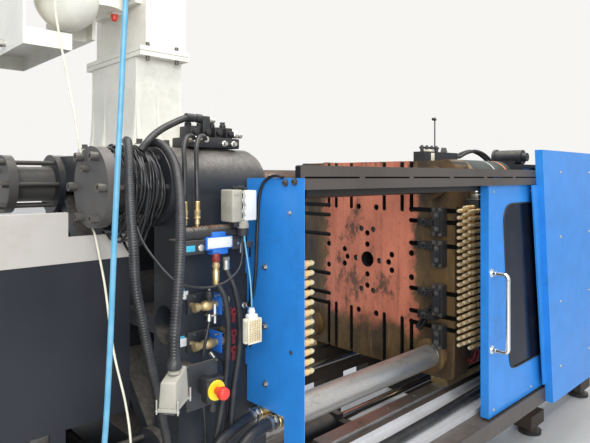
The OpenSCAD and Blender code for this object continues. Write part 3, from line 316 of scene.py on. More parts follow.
def bar_finish():
    """Tie bars: ground grey below, dark with old oil on the upper pair."""
    made = Finish("tie_bar", metal=0.85)
    marks = made.noise(150, 3, 0.6, (0.4, 8, 8))
    grey = made.mix(made.steps(marks, 0.3, 0.7), (0.6, 0.59, 0.57), (0.44, 0.43, 0.41))
    oil = made.mix(made.cloud(0.35, 0.7, 5, 6, 0.7), (0.055, 0.035, 0.025), (0.15, 0.10, 0.075))
    upper = made.steps(made.along("Z"), 1.31, 1.33)
    runs = made.times(made.cloud(0.55, 0.72, 7, 6, 0.7, (1, 2, 2)), 0.55)
    made.colour(made.mix(upper, made.mix(runs, grey, (0.22, 0.17, 0.13)), oil))
    made.gloss(0.26, 0.48, marks)
    made.relief(marks, 0.12, 0.0004)
    return made


def rail_finish():
    """Brown rails with painted top light on what faces up, and the square beam behind them painted near black
    below Z 1.912.
    """
    made = Finish("rail_coat", rough=0.45)
    brown = made.mix(made.cloud(0.4, 0.7, 3, 6, 0.65), (0.062, 0.052, 0.046), (0.046, 0.038, 0.033))
    # Painted top light: what faces up is painted a lighter brown
    brown = made.mix(made.times(made.steps(made.facing_up(), 0.4, 0.95), 0.7), brown, (0.11, 0.096, 0.085))
    # The beam behind the rails is painted near black below Z 1.912; above that height it stays brown
    beam = made.between("Y", -0.8795, -0.8150)
    low = made.sums("SUBTRACT", 1.0, made.steps(made.along("Z"), 1.912, 1.914))
    made.colour(made.mix(made.times(beam, low), brown, (0.010, 0.008, 0.007)))
    made.gloss(0.36, 0.56, made.noise(8, 4))
    made.relief(made.noise(320, 3), 0.12, 0.0005)
    return made


def window_pane():
    """Dark tinted pane with a little haze."""
    made = Finish("tinted_pane", rough=0.12, specular=0.12)
    haze = made.cloud(0.4, 0.75, 2.4, 5, 0.7)
    made.colour(made.mix(haze, (0.006, 0.009, 0.02), (0.016, 0.022, 0.04)))
    made.gloss(0.1, 0.3, haze)
    return made


# The nodes that keep their own mesh, by finish; the others are replaced below
WORN = {
    BED: "bed_frame",
    BROWN: "lower_beams",
    rail_finish(): "top_rails",
    bar_finish(): "tie_bars",
    platen_coat(): "moving_platen",
    CAST: "fixed_platen lock_housings",
    DUSTY: "cylinder_caps",
    BOLT: "cap_bolts",
    BLUE: "front_post front_cover rear_cover front_door rear_door hopper hopper_lid",
    DARK: "machine_feet traverse_barrels mould_clamps",
    PALE: "drip_tray",
    guard_sheet(): "barrel_guard",
    GROUND: "guide_rails lock_halves_front lock_halves_rear ejector_plate screw",
    BRASS: "platen_shoes",
    CHROME: "traverse_rods",
    GREY: "ejector_cylinders carriage drive_unit",
    ZINC: "barrel",
    WHITE: "pedestal vertical_carriage",
    window_pane(): "front_window",
    DULL_RED: "valve_lever_1 valve_lever_2 valve_lever_3",
}
for finish, nodes in WORN.items():
    for node in nodes.split():
        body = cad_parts[node]
        body.data.materials.clear()
        body.data.materials.append(finish.material)

# The record's slot of each finish, kept on the finish
SLOTS = {
    "black_steel": (DARK, CAST),
    "bolt_steel": (BOLT,),
    "ground_steel": (ZINC, RACK_TIP),
    "handle_chrome": (HANDLE,),
    "brass": (BRASS, COUPLER, LIT_RACK_BRASS),
    "grey_aluminium": (DIECAST, PALE_BOX),
    "valve_grey": (DUSTY_TUBE, RUST),
    "blue_paint": (VALVE_BLUE, SKY),
    "red_plastic": (RED, DULL_RED, YELLOW),
    "black_plastic": (BLACK_PLASTIC,),
    "ivory_plastic": (IVORY, LABEL_WHITE),
    "black_rubber": (RUBBER, JACKET, OXBLOOD),
    "black_conduit": (RIBBED,),
    "blue_hose": (AIR_BLUE,),
    "white_cable": (CREAM,),
}
for slot, finishes in SLOTS.items():
    for finish in finishes:
        finish.slot = slot


# Making of pieces. Lengths are in millimetres, as in the part's source; the helpers turn them into metres
SHARP_ANGLE = math.radians(35)
WELD = 1e-6  # vertices nearer than this are made one
AXES = {"X": Matrix.Rotation(math.pi / 2, 4, "Y"), "-X": Matrix.Rotation(-math.pi / 2, 4, "Y"),
        "Y": Matrix.Rotation(-math.pi / 2, 4, "X"), "-Y": Matrix.Rotation(math.pi / 2, 4, "X"),
        "Z": Matrix.Identity(4)}


def meshes(count):
    return [bmesh.new() for _ in range(count)]


def piece(name, mesh, finish, body="machine_base", replaces=None):
    """A finished piece: its mesh in the frame, a finish and the body that carries it."""
    if isinstance(mesh, bmesh.types.BMesh):
        bmesh.ops.remove_doubles(mesh, verts=mesh.verts, dist=WELD)
        bmesh.ops.recalc_face_normals(mesh, faces=mesh.faces)
        data = bpy.data.meshes.new(name)
        mesh.to_mesh(data)
        mesh.free()
        for face in data.polygons:
            face.use_smooth = True
        data.set_sharp_from_angle(angle=SHARP_ANGLE)
    else:
        data = mesh
    made = bpy.data.objects.new(name, data)
    bpy.context.collection.objects.link(made)
    data.materials.append(finish.material)
    if body:
        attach(made, body)
    if replaces:
        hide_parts(replaces)
    return made


def joined(verts):
    """The vertices given and all that edges join to them."""
    reach, todo = set(), set(verts)
    while todo:
        vert = todo.pop()
        if vert.is_valid and vert not in reach:
            reach.add(vert)
            todo |= {edge.other_vert(vert) for edge in vert.link_edges}
    return list(reach)


def rod(radius, low, high):
    """A turned part's profile with one radius."""
    return [(radius, low), (radius, high)]


def ring(foot, radius, low, high, slope, top=None):
    """A profile whose two ends slope in from its radius to that of its foot and top."""
    return [(foot, low), (radius, low + slope), (radius, high - slope), (foot if top is None else top, high)]


def sleeve(foot, radius, neck, low, shoulder, high, slope):
    """A profile that slopes out at its foot, and at its shoulder to a neck."""
    return [(foot, low), (radius, low + slope), (radius, shoulder), (neck, shoulder + slope), (neck, high)]


def turned(mesh, profile, at=(0, 0, 0), axis="Z", steps=20, turn=None):
    """A turned part: a profile of (radius, height) spun round its axis, closed at both ends."""
    profile = [(r / MM, h / MM) for r, h in profile]
    verts = [mesh.verts.new((0, 0, profile[0][1]))]
    verts += [mesh.verts.new((r, 0, h)) for r, h in profile]
    verts.append(mesh.verts.new((0, 0, profile[-1][1])))
    edges = [mesh.edges.new(pair) for pair in zip(verts, verts[1:])]
    made = bmesh.ops.spin(mesh, geom=verts + edges, cent=(0, 0, 0), axis=(0, 0, 1), angle=TAU, steps=steps,
            use_merge=True)
    last = [v for v in made["geom_last"] if isinstance(v, bmesh.types.BMVert)]
    place = Matrix.Translation([v / MM for v in at]) @ (AXES[axis] if turn is None else turn)
    bmesh.ops.transform(mesh, matrix=place, verts=joined(last + verts))


def rounded(mesh, edges, offset, segments):
    """Round a mesh's edges. Gives the faces that this makes."""
    return bmesh.ops.bevel(mesh, geom=edges, offset=offset, segments=segments, affect="EDGES", profile=0.5,
            material=-1)["faces"]


def block(mesh, low, high, soft=0, segments=2, turn=None):
    """A block between two corners with rounded edges."""
    low, high = ([v / MM for v in corner] for corner in (low, high))
    made = bmesh.ops.create_cube(mesh, size=1)["verts"]
    middle = Vector([(a + b) / 2 for a, b in zip(low, high)])
    bmesh.ops.scale(mesh, vec=[b - a for a, b in zip(low, high)], verts=made)
    bmesh.ops.translate(mesh, vec=middle, verts=made)
    if soft:
        edges = list({e for v in made for e in v.link_edges})
        made = joined([v for f in rounded(mesh, edges, soft / MM, segments) for v in f.verts])
    if turn is not None:
        bmesh.ops.rotate(mesh, cent=middle, matrix=turn, verts=made)
    return made


def blocks(mesh, soft, *corners):
    """Blocks with the same rounding, each given by its low and high corner in one row."""
    for row in corners:
        block(mesh, row[:3], row[3:], soft)


def spline_at(a, b, c, d, t):
    """The curve between b and c at share t, led by the points a and d beside them."""
    return 0.5 * (2 * b + (c - a) * t + (2 * a - 5 * b + 4 * c - d) * t * t + (3 * b - a - 3 * c + d) * t ** 3)


def smooth_line(route, steps=10):
    """The part's own curve through a route's points, given in millimetres, in metres."""
    p = [Vector(q) / MM for q in route]
    line = [spline_at(p[max(i - 1, 0)], p[i], p[i + 1], p[min(i + 2, len(p) - 1)], k / steps)
            for i in range(len(p) - 1) for k in range(steps)]
    return line + [p[-1]]


def even(line, pitch):
    """Points along a line at an even pitch, from its first to its last."""
    runs = [(b - a).length for a, b in zip(line, line[1:])]
    total = sum(runs)
    count = max(2, round(total / (pitch / MM)))
    out, at, i = [], 0.0, 0
    for k in range(count + 1):
        want = total * k / count
        while i < len(runs) - 1 and at + runs[i] < want:
            at += runs[i]
            i += 1
        out.append(line[i].lerp(line[i + 1], min(1, max(0, (want - at) / runs[i]))))
    return out


def strand(name, lines, radius, finish, body="machine_base", replaces=None, fine=4, ribs=None, closed=False):
    """One or more strands as curves with a round section; ribs gives a corrugated one its rings."""
    data = bpy.data.curves.new(name, "CURVE")
    data.dimensions = "3D"
    data.bevel_depth = radius / MM
    data.bevel_resolution = fine
    data.use_fill_caps = True
    for line in lines:
        spline = data.splines.new("POLY")
        spline.points.add(len(line) - 1)
        for k, (point, at) in enumerate(zip(spline.points, line)):
            point.co = (*at, 1)
            point.radius = ribs[k % len(ribs)] if ribs else 1
        spline.use_cyclic_u = closed
        spline.use_smooth = True
    return piece(name, data, finish, body, replaces)


# Routes of the free cords, the same points as in the part's source, in millimetres
ROUTE_A = [(-452, -530, 1992), (-436, -570, 1990), (-432, -620, 1968), (-445, -700, 1910), (-490, -800, 1830),
        (-540, -890, 1750), (-585, -960, 1660), (-618, -1003, 1560), (-636, -1018, 1470), (-641, -1020, 1430),
        (-641, -1020, 1409), (-641, -1020, 1388)]
ROUTE_B = [(-540, -540, 1995), (-560, -590, 1985), (-585, -650, 1930), (-608, -700, 1850), (-628, -750, 1750),
        (-642, -795, 1650), (-645, -815, 1540), (-628, -822, 1440), (-605, -820, 1330), (-575, -808, 1230),
        (-545, -790, 1130), (-510, -765, 1010), (-505, -748, 880), (-512, -728, 760), (-520, -685, 650),
        (-520, -620, 570), (-520, -560, 534), (-520, -525, 530), (-520, -502, 530), (-520, -480, 530)]
ROUTE_SAG = [(-213, -765, 1700), (-213, -765, 1685), (-213, -765, 1670), (-225, -785, 1610), (-255, -810, 1560),
        (-310, -828, 1528), (-370, -834, 1514), (-430, -835, 1516), (-490, -835, 1532), (-530, -828, 1556),
        (-562, -790, 1606), (-578, -730, 1665), (-574, -670, 1725), (-570, -632, 1762)]
ROUTE_PLUG = [(-222, -790, 1700), (-222, -790, 1685), (-222, -790, 1670), (-232, -818, 1600), (-242, -848, 1530),
        (-248, -863, 1475), (-248, -865, 1450), (-248, -865, 1438), (-248, -865, 1427)]
ROUTE_AIR = [(-868, -1215, 2360), (-876, -1218, 2260), (-890, -1225, 2050), (-903, -1230, 1840), (-912, -1232, 1660),
        (-918, -1230, 1500), (-922, -1215, 1320), (-925, -1180, 1150), (-928, -1110, 950), (-932, -1000, 760),
        (-936, -870, 610), (-936, -740, 520), (-936, -640, 492), (-936, -570, 490), (-936, -537, 490),
        (-936, -505, 490)]
ROUTE_WHITE = [(-700, -322, 2580), (-700, -322, 2562), (-700, -322, 2540), (-700, -324, 2460), (-682, -332, 2330),
        (-664, -342, 2220), (-645, -355, 2090), (-630, -364, 1975), (-608, -366, 1880), (-596, -378, 1780),
        (-604, -408, 1718), (-616, -440, 1693), (-618, -464, 1672), (-612, -486, 1600), (-604, -516, 1490),
        (-596, -560, 1290), (-584, -622, 1130), (-584, -660, 1010), (-590, -672, 880), (-596, -668, 760),
        (-600, -632, 660), (-600, -572, 586), (-600, -535, 563), (-600, -515, 560), (-600, -500, 560),
        (-600, -490, 560), (-600, -480, 560)]


def hood():
    """Heavy connector hood: a tapered die-cast housing with a gland, a dark seal and two spring clips."""
    home = Matrix.Translation((-0.641, -1.020, 0)) @ Matrix.Rotation(math.radians(38), 4, "Z")
    case, nut, foot = meshes(3)
    for vert in block(case, (-49, -25, 1266), (49, 25, 1348)):
        if vert.co.z > 1.3:  # the upper end narrows, and falls towards the back
            vert.co.x *= 0.86 if vert.co.x > 0 else 0.92
            vert.co.y *= 0.84
            vert.co.z += 0.004 if vert.co.x > 0 else -0.014
    rounded(case, case.edges[:], 0.005, 3)
    block(case, (-51, -26, 1259), (50, 26, 1268), 2)
    turned(case, [(17, 1344), (17, 1352), (14.5, 1354), (14.5, 1358)])
    turned(nut, [(19, 1355), (20.5, 1357), (20.5, 1372), (18.5, 1375), (16.5, 1387), (16.5, 1388)], steps=10)
    block(nut, (-46, -22, 1252), (46, 22, 1259.5), 2)
    block(foot, (-36, -16, 1246.5), (38, 17, 1253), 3)
    for end in (-1, 1):
        for side in (-1, 1):
            block(foot, (end * 47 - 4, side * 29 - 2, 1252), (end * 47 + 4, side * 29 + 2, 1290), 1.5)
        turned(foot, rod(3.5, -32, 32), (end * 46, 0, 1260), "Y", 10)
    for mesh in (case, nut, foot):
        bmesh.ops.transform(mesh, matrix=home, verts=mesh.verts)
    return [piece("hood_case", case, DIECAST, replaces="hood_connector"), piece("hood_gland_nut", nut, BLACK_PLASTIC),
            piece("hood_clips", foot, ZINC)]


def insert():
    """Many-pole plug insert hanging on its thin blue cord, with its contacts to the front."""
    home = Vector((-0.248, -0.865, 1.424))
    shrink = Matrix.Translation(home) @ Matrix.Diagonal((0.83, 1, 0.84, 1)) @ Matrix.Translation(-home)
    collar, core, pins = meshes(3)
    turned(collar, sleeve(11.5, 13, 10.5, 1402, 1417, 1427, 3), (-248, -865, 0))
    block(collar, (-270, -877, 1385), (-226, -853, 1403), 4)
    block(core, (-281, -882, 1290), (-215, -850, 1386), 3)
    for x in (-284, -212):
        for z in (1294, 1380):
            block(core, (x - 4, -874, z - 4), (x + 4, -860, z + 4), 1)
    blocks(core, 1, (-283, -883.5, 1288, -213, -879.5, 1293), (-283, -883.5, 1382, -213, -879.5, 1387),
            (-283, -883.5, 1290, -279, -879.5, 1386), (-217, -883.5, 1290, -213, -879.5, 1386))
    for row in range(9):
        for column in range(5):
            turned(pins, [(3.6, 0), (3.6, 2.2), (2.2, 3)], (-272 + column * 11.8, -882.2, 1302 + row * 9.3), "-Y", 8)
    for mesh in (collar, core, pins):
        bmesh.ops.transform(mesh, matrix=shrink, verts=mesh.verts)
    return [piece("insert_collar", collar, LABEL_WHITE, replaces="plug_insert"), piece("insert_case", core, IVORY),
            piece("insert_contacts", pins, BRASS)]


def air_hook():
    """Ceiling hook that the blue hose hangs in, just above the view."""
    mesh = bmesh.new()
    turned(mesh, [(11, -4), (13, 0), (13, 30), (8, 36), (8, 50)], (-868, -1215, 2352))
    return [piece("hose_hook", mesh, ZINC)]


RIBS = [0.86, 0.97, 1.0, 0.97]
RIB_PITCH = 8.4
CORD_PITCH = 12


def free_cord(name, node, route, radius, finish, ribbed=False,
              inside=(), across=()):
    """A cord along its route. inside gives the points that it runs on to within its far end's piece. across, when
    given, makes the cord a mesh without a body; the two bodies and the two points in it, in metres, are not used."""
    line = even(smooth_line(route), RIB_PITCH / len(RIBS) if ribbed else CORD_PITCH)
    line += [Vector([v / MM for v in at]) for at in inside]
    if across:
        guide = strand(name + "_guide", [line], radius, finish, body=None, fine=3)
        tube = bpy.data.meshes.new_from_object(guide)
        bpy.data.objects.remove(guide)
        tube.materials.clear()
        made = piece(name, tube, finish, body=None, replaces=node)
        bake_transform(made)
    else:
        made = strand(name, [line], radius, finish, replaces=node, fine=3, ribs=RIBS if ribbed else None)


hood_pieces, insert_pieces, hook_pieces = hood(), insert(), air_hook()
free_cord("conduit_to_hood", "conduit_a", ROUTE_A, 16, RIBBED, ribbed=True)
free_cord("conduit_to_bed", "conduit_b", ROUTE_B, 16, RIBBED, ribbed=True)
free_cord("sensor_lead", "sensor_cable", ROUTE_SAG, 4, JACKET)
free_cord("insert_cord", "plug_cord", ROUTE_PLUG, 3, AIR_BLUE,
        inside=[(-248, -865, 1405), (-248, -865, 1380)])
free_cord("air_line", "air_hose", ROUTE_AIR, 6, AIR_BLUE)
free_cord("cream_lead", "white_cable", ROUTE_WHITE, 4, CREAM,
        across=("vertical_carriage", "machine_base", (-0.700, -0.322, 2.560), (-0.612, -0.486, 1.600)))


HOSES = {
    "arc": [(-512, -590, 1962), (-490, -590, 1988), (-455, -570, 2015), (-402, -548, 2046), (-326, -525, 2080),
            (-280, -510, 2096), (-262, -508, 2098), (-248, -508, 2098), (-234, -508, 2098)],
    "drop_1": [(-300, -570, 2010), (-300, -582, 2010), (-300, -594, 2010), (-330, -625, 2019), (-370, -652, 2008),
            (-398, -680, 1968), (-408, -700, 1918), (-416, -714, 1860), (-420, -720, 1808), (-420, -720, 1785),
            (-420, -720, 1757)],
    "drop_2": [(-250, -570, 2010), (-250, -582, 2010), (-250, -594, 2010), (-280, -627, 2020), (-320, -656, 2012),
            (-350, -685, 1972), (-361, -702, 1918), (-368, -715, 1860), (-370, -720, 1808), (-370, -720, 1785),
            (-370, -720, 1757)],
    "valve_1": [(-312, -748, 1550), (-312, -748, 1530), (-309, -752, 1505), (-290, -768, 1455), (-278, -773, 1370),
            (-282, -773, 1250), (-298, -772, 1120), (-322, -768, 990), (-330, -752, 890), (-322, -715, 818),
            (-320, -690, 804), (-320, -672, 804), (-320, -653, 804)],
    "valve_2": [(-269, -748, 1580), (-269, -748, 1560), (-266, -752, 1540), (-246, -772, 1470), (-231, -777, 1370),
            (-234, -776, 1250), (-252, -772, 1140), (-262, -768, 1010), (-258, -745, 900), (-252, -708, 822),
            (-250, -688, 804), (-250, -670, 804), (-250, -653, 804)],
    "oil_1": [(-18, -651, 996), (-18, -690, 996), (-30, -725, 996), (-62, -743, 995), (-100, -745, 993),
            (-150, -748, 992), (-224, -770, 990), (-300, -792, 984), (-360, -805, 960), (-405, -808, 900),
            (-425, -798, 810), (-428, -770, 715), (-420, -725, 630), (-412, -675, 582), (-410, -642, 570),
            (-410, -621, 570), (-410, -600, 570)],
    "oil_2": [(-14, -651, 943), (-14, -735, 945), (-26, -788, 955), (-58, -812, 970), (-98, -816, 977),
            (-150, -822, 980), (-195, -830, 981), (-245, -838, 968), (-295, -842, 932), (-330, -842, 870),
            (-342, -828, 790), (-342, -795, 700), (-338, -745, 615), (-336, -690, 560), (-335, -645, 545),
            (-335, -622, 545), (-335, -600, 545)],
    "floor": [(-18, -735, 605), (60, -735, 605), (140, -735, 605), (300, -728, 605), (500, -738, 605),
            (700, -742, 605), (900, -740, 605), (1100, -738, 605), (1300, -732, 605), (1500, -725, 605),
            (1700, -720, 605), (1900, -728, 605), (2060, -735, 605), (2130, -735, 605), (2198, -735, 605)],
}


def line_end(line, far):
    """The place of a line's end, with Z pointing out of it."""
    tip, before = (line[-1], line[-3]) if far else (line[0], line[2])
    return Matrix.Translation(tip) @ (tip - before).to_track_quat("Z", "Y").to_matrix().to_4x4()


def cuff(mesh, line, far, profile, back=0):
    """A turned fitting on a hose's end; back steps along the line for a clamp further down."""
    cut = (line[:len(line) - back] if far else line[back:]) if back else line
    turned(mesh, profile, steps=18, turn=line_end(cut, far))


def hose_set():
    """The held hoses along their routes, with crimped ferrules, hexagons and clamp bands."""
    lines = {key: even(smooth_line(route, 8), 12) for key, route in HOSES.items()}
    strand("manifold_hose_arc", [lines["arc"]], 13, RUBBER, replaces="manifold_hoses", fine=5)
    strand("manifold_hose_drops", [lines["drop_1"], lines["drop_2"]], 8, RUBBER, fine=4)
    strand("valve_hose_pair", [lines["valve_1"], lines["valve_2"]], 11.2, RUBBER, replaces="valve_hoses", fine=4)
    strand("oil_hose_pair", [lines["oil_1"], lines["oil_2"]], 21.5, RUBBER, replaces="oil_hoses", fine=6)
    strand("floor_line", [lines["floor"]], 25.5, RUBBER, replaces="floor_hose", fine=6)
    steel, dark, worn = meshes(3)
    cuff(dark, lines["arc"], True, sleeve(13.5, 16.5, 14.5, -50, -14, 2, 2))
    for key in ("drop_1", "drop_2"):
        cuff(steel, lines[key], False, sleeve(8.5, 11.2, 9.5, -34, -6, 2, 2))
        cuff(worn, lines[key], True, sleeve(8.5, 10.5, 8.2, -30, 0, 4, 2))
    cuff(worn, lines["valve_1"], False, [(11.5, -52), (13.5, -50), (13.5, -6), (11.5, -3), (11.5, 2)])
    cuff(steel, lines["valve_2"], False, sleeve(11.5, 13.2, 11, -36, -4, 2, 2))
    for key in ("valve_1", "valve_2"):
        cuff(steel, lines[key], True, [(11.5, -34), (13.5, -32), (13.5, -6), (15, -5), (15, -1)])
    for key in ("oil_1", "oil_2"):
        for far in (False, True):
            cuff(worn, lines[key], far, [(22.2, -52), (24.5, -50), (24.5, -12), (27, -11), (27, -1)])
        first = 15 if key == "oil_1" else 19
        cuff(worn, lines[key], False, ring(21.8, 23.8, -4, 60, 2), back=first - 1)
        for back in (first, first + 2):
            cuff(steel, lines[key], False, ring(21.8, 25.2, -10.5, 0.5, 0.5), back=back)
        place = line_end(lines[key][first + 1:], False)
        for turn in (0.6, 2.4):
            screw = place @ Matrix.Rotation(turn, 4, "Z") @ Matrix.Translation((0.026, 0, -0.004)) @ AXES["Y"]
            turned(steel, rod(4.5, -8, 8), steps=8, turn=screw)
    for far in (False, True):
        cuff(steel, lines["floor"], far, [(26.2, -60), (28.5, -58), (28.5, -20), (32, -19), (32, -1)])
        cuff(dark, lines["floor"], far, ring(26.2, 28, -14, 1, 1), back=9)
    piece("hose_clamps", steel, ZINC)
    piece("hose_ferrules_black", dark, BLACK_PLASTIC)
    piece("hose_ferrules_worn", worn, BRASS)


def cable_winding():
    """Thin leads wound over the end bolts, sagging between them, with one bright tie."""
    turns, points, centre_y, centre_z = 15, 64, -0.508, 1.836
    loops = []
    for k in range(turns):
        turn_at, slack = -0.584 + k * 0.0092, 0.06 + 0.94 * chance.random() ** 2
        line = []
        for step in range(points):
            angle = TAU * step / points
            radius = 0.1345 + 0.009 * chance.random() * (k % 2) + 0.006 * math.sin(3 * angle + k)
            low = max(0.0, -math.cos(angle)) ** 3
            x = turn_at + 0.0035 * math.sin(2 * angle + 1.7 * k)
            out, up = radius * math.sin(angle) * (1 - 0.1 * low), radius * math.cos(angle) - slack * 0.11 * low
            line.append(Vector((x, centre_y + out, centre_z + up)))
        loops.append(even(line + [line[0]], 12)[:-1])
    strand("wound_leads", loops, 4.6, JACKET, replaces="cable_coil", fine=2, closed=True)
    tie = bmesh.new()
    place = Matrix.Translation((-0.548, -0.560, 1.957)) @ Matrix.Rotation(1.0, 4, "X") @ AXES["X"]
    turned(tie, ring(16.5, 17.5, -2, 2, 0.5), turn=place)
    block(tie, (-552, -583, 1966), (-544, -577, 1976), 1)
    piece("lead_tie", tie, LABEL_WHITE)


def rotary_valve():
    """Dusty actuator tube over a row of valve bodies, with a bare white plate, couplings and fittings."""
    tube = bmesh.new()
    turned(tube, [(20, -432.5), (23.5, -430), (23.5, -402), (21.5, -400), (21.5, -396), (24, -394), (24, -335),
            (22.5, -333), (22.5, -329), (24, -327), (24, -222), (22, -220), (22, -215), (23.8, -213), (23.8, -186),
            (21, -182)], (0, -722, 1676), "X", 28)
    block(tube, (-440, -746, 1648.5), (-175, -650, 1656), 2)
    blocks(tube, 4, (-436, -746, 1608, -355, -698, 1652), (-241, -746, 1612, -180, -698, 1652))
    block(tube, (-178, -752, 1612), (-150, -744, 1636), 3)
    piece("valve_tube", tube, DUSTY_TUBE, replaces="valve_block")
    blue = bmesh.new()
    block(blue, (-354, -753, 1618), (-242, -698, 1664), 4)
    block(blue, (-330, -752, 1660), (-270, -712, 1680), 6)
    block(blue, (-326, -752, 1600), (-262, -712, 1620), 4)
    piece("valve_centre", blue, VALVE_BLUE)
    plate = bmesh.new()
    block(plate, (-350, -755.5, 1624), (-247, -752.5, 1660.5), 1.2)
    piece("valve_plate", plate, LABEL_WHITE)
    small = bmesh.new()
    for x in (-344, -253):
        for z in (1629, 1656):
            turned(small, [(2.8, 753), (2.8, 756.8), (1.6, 757.5)], (x, 0, z), "-Y", 8)
    turned(small, [(11.5, 744), (11.5, 749), (9, 750.5)], (-372, 0, 1630), "-Y", 18)
    turned(small, rod(6, 749, 756), (-222, 0, 1634), "-Y", 6)
    block(small, (-206, -750.5, 1598), (-200, -745, 1642), 1.5, turn=Matrix.Rotation(0.12, 3, "Y"))
    turned(small, [(12.5, 1556), (12.5, 1570), (10.5, 1572), (10.5, 1578)], (-269, -748, 0), steps=16)
    turned(small, rod(13.5, 1578, 1590), (-269, -748, 0), steps=6)
    piece("valve_bright_parts", small, ZINC)
    label = bmesh.new()
    blocks(label, 0.6, (-430, -747.5, 1620, -396, -745.5, 1640), (-198, -747.5, 1636, -184, -745.5, 1645))
    piece("valve_tags", label, SKY)
    red = bmesh.new()
    turned(red, [(12.5, 1576), (13.8, 1578), (13.8, 1603), (12, 1606)], (-312, -748, 0), steps=16)
    piece("valve_red_ring", red, DULL_RED)
    brass = bmesh.new()
    turned(brass, [(11.2, 1549), (11.2, 1556), (13.5, 1558), (13.5, 1569), (11.5, 1571), (11.5, 1577)],
            (-312, -748, 0), steps=14)
    for x in (-420, -370):
        turned(brass, [(5.5, 1690), (5.5, 1706), (8.8, 1708), (8.8, 1722), (7.5, 1724), (7.5, 1726.5), (12.2, 1728),
                (12.2, 1732.5), (10.8, 1734), (10.8, 1744), (11.8, 1745.5), (11.8, 1756), (9.5, 1758), (9.5, 1760)],
                (x, -720, 0), steps=18)
    piece("valve_brass_parts", brass, COUPLER)
    rust = bmesh.new()
    crumbs, tube_y, tube_z, tube_radius = 90, -722, 1676, 24
    for _ in range(crumbs):
        x, off = -400 + 230 * chance.random(), chance.gauss(0, 8)
        z = tube_z + math.sqrt(max(0, tube_radius ** 2 - off ** 2))
        size = 0.8 + 1.6 * chance.random()
        y = tube_y + off
        block(rust, (x - 1.8 * size, y - size, z - 0.6), (x + 1.8 * size, y + size, z + size * 0.8),
                turn=Matrix.Rotation(3.1 * chance.random(), 3, "Z"))
    piece("rust_crumbs", rust, RUST)


# A ball valve's body: hexagon ends, a waist and a round middle
TAP_BODY = [(12, -60), (16.5, -59), (16.5, -43), (12.5, -41), (12.5, -26), (17.5, -20), (19.5, 0), (17.5, 20),
        (12.5, 26), (12.5, 41), (16.5, 43), (16.5, 59), (12, 60)]


def ball_valve_group():
    """Two rows of small brass valves on black plates, with their knobs, handles and blue plates."""
    plates, brass, black, bright, blue, white = meshes(6)
    for z in (1420, 1285):
        block(plates, (-370, -662, z - 36), (-215, -651, z + 36), 2)
        turned(brass, TAP_BODY, (-318, -710, z), "X", 12)
        for x in (-356, -280):
            turned(brass, rod(9, 651, 700), (x, 0, z), "-Y", 12)
            turned(bright, rod(4.5, 662, 667), (x + 12, 0, z + 28), "-Y", 6)
        block(blue, (-285, -740, z - 34), (-279, -662, z + 38), 1.2)
        block(bright, (-310, -739.5, z + 34.5), (-272, -733.5, z + 37.5), 1)
        turned(brass, ring(9.5, 10.5, -12, 12, 2), (-246, -722, z + 10), "Z", 12)
    turned(black, [(10.5, 1436), (10.5, 1446), (14.5, 1448), (15.2, 1462), (13.5, 1470), (9, 1474)], (-316, -714, 0),
            steps=16)
    turned(bright, [(6, 1470), (6, 1476.5), (3.5, 1479)], (-316, -714, 0), steps=12)
    turned(bright, [(24.5, 1386.5), (26.5, 1388), (26.5, 1391), (23.5, 1392.5), (8, 1392.5)], (-308, -716, 0),
            steps=24)
    turned(black, [(16.5, 1372), (18.5, 1375), (18.5, 1386), (16.5, 1387)], (-308, -716, 0), steps=20)
    block(white, (-312.5, -739.5, 1360), (-304.5, -734.5, 1428), 1.8)
    turned(black, [(8.5, 1298), (8.5, 1312), (10.5, 1314), (10.5, 1326), (7, 1330)], (-327, -712, 0), steps=14)
    turned(bright, rod(4.5, 1330, 1338), (-327, -712, 0), steps=10)
    for z in (1386, 1310, 1250):
        turned(brass, [(8.5, 661), (8.5, 690), (11.5, 692), (11.5, 712), (9.5, 714), (9.5, 726.2)], (-225, 0, z),
                "-Y", 14)
    piece("valve_back_plates", plates, CAST, replaces="ball_valves")
    piece("valve_bodies", brass, COUPLER)
    piece("valve_knobs", black, BLACK_PLASTIC)
    piece("valve_studs", bright, ZINC)
    piece("valve_blue_plates", blue, VALVE_BLUE)
    piece("valve_white_handle", white, LABEL_WHITE)
    tags = bmesh.new()
    for z in (1454.5, 1290):
        block(tags, (-394, -651.5, z - 14.5), (-362, -650, z + 14.5), 0.6)
    piece("bare_tags", tags, LABEL_WHITE)
    blues = bmesh.new()
    for z in (1454.5, 1290):
        block(blues, (-394, -651.2, z + 15), (-376, -650, z + 23), 0.5)
    piece("bare_tag_heads", blues, SKY)


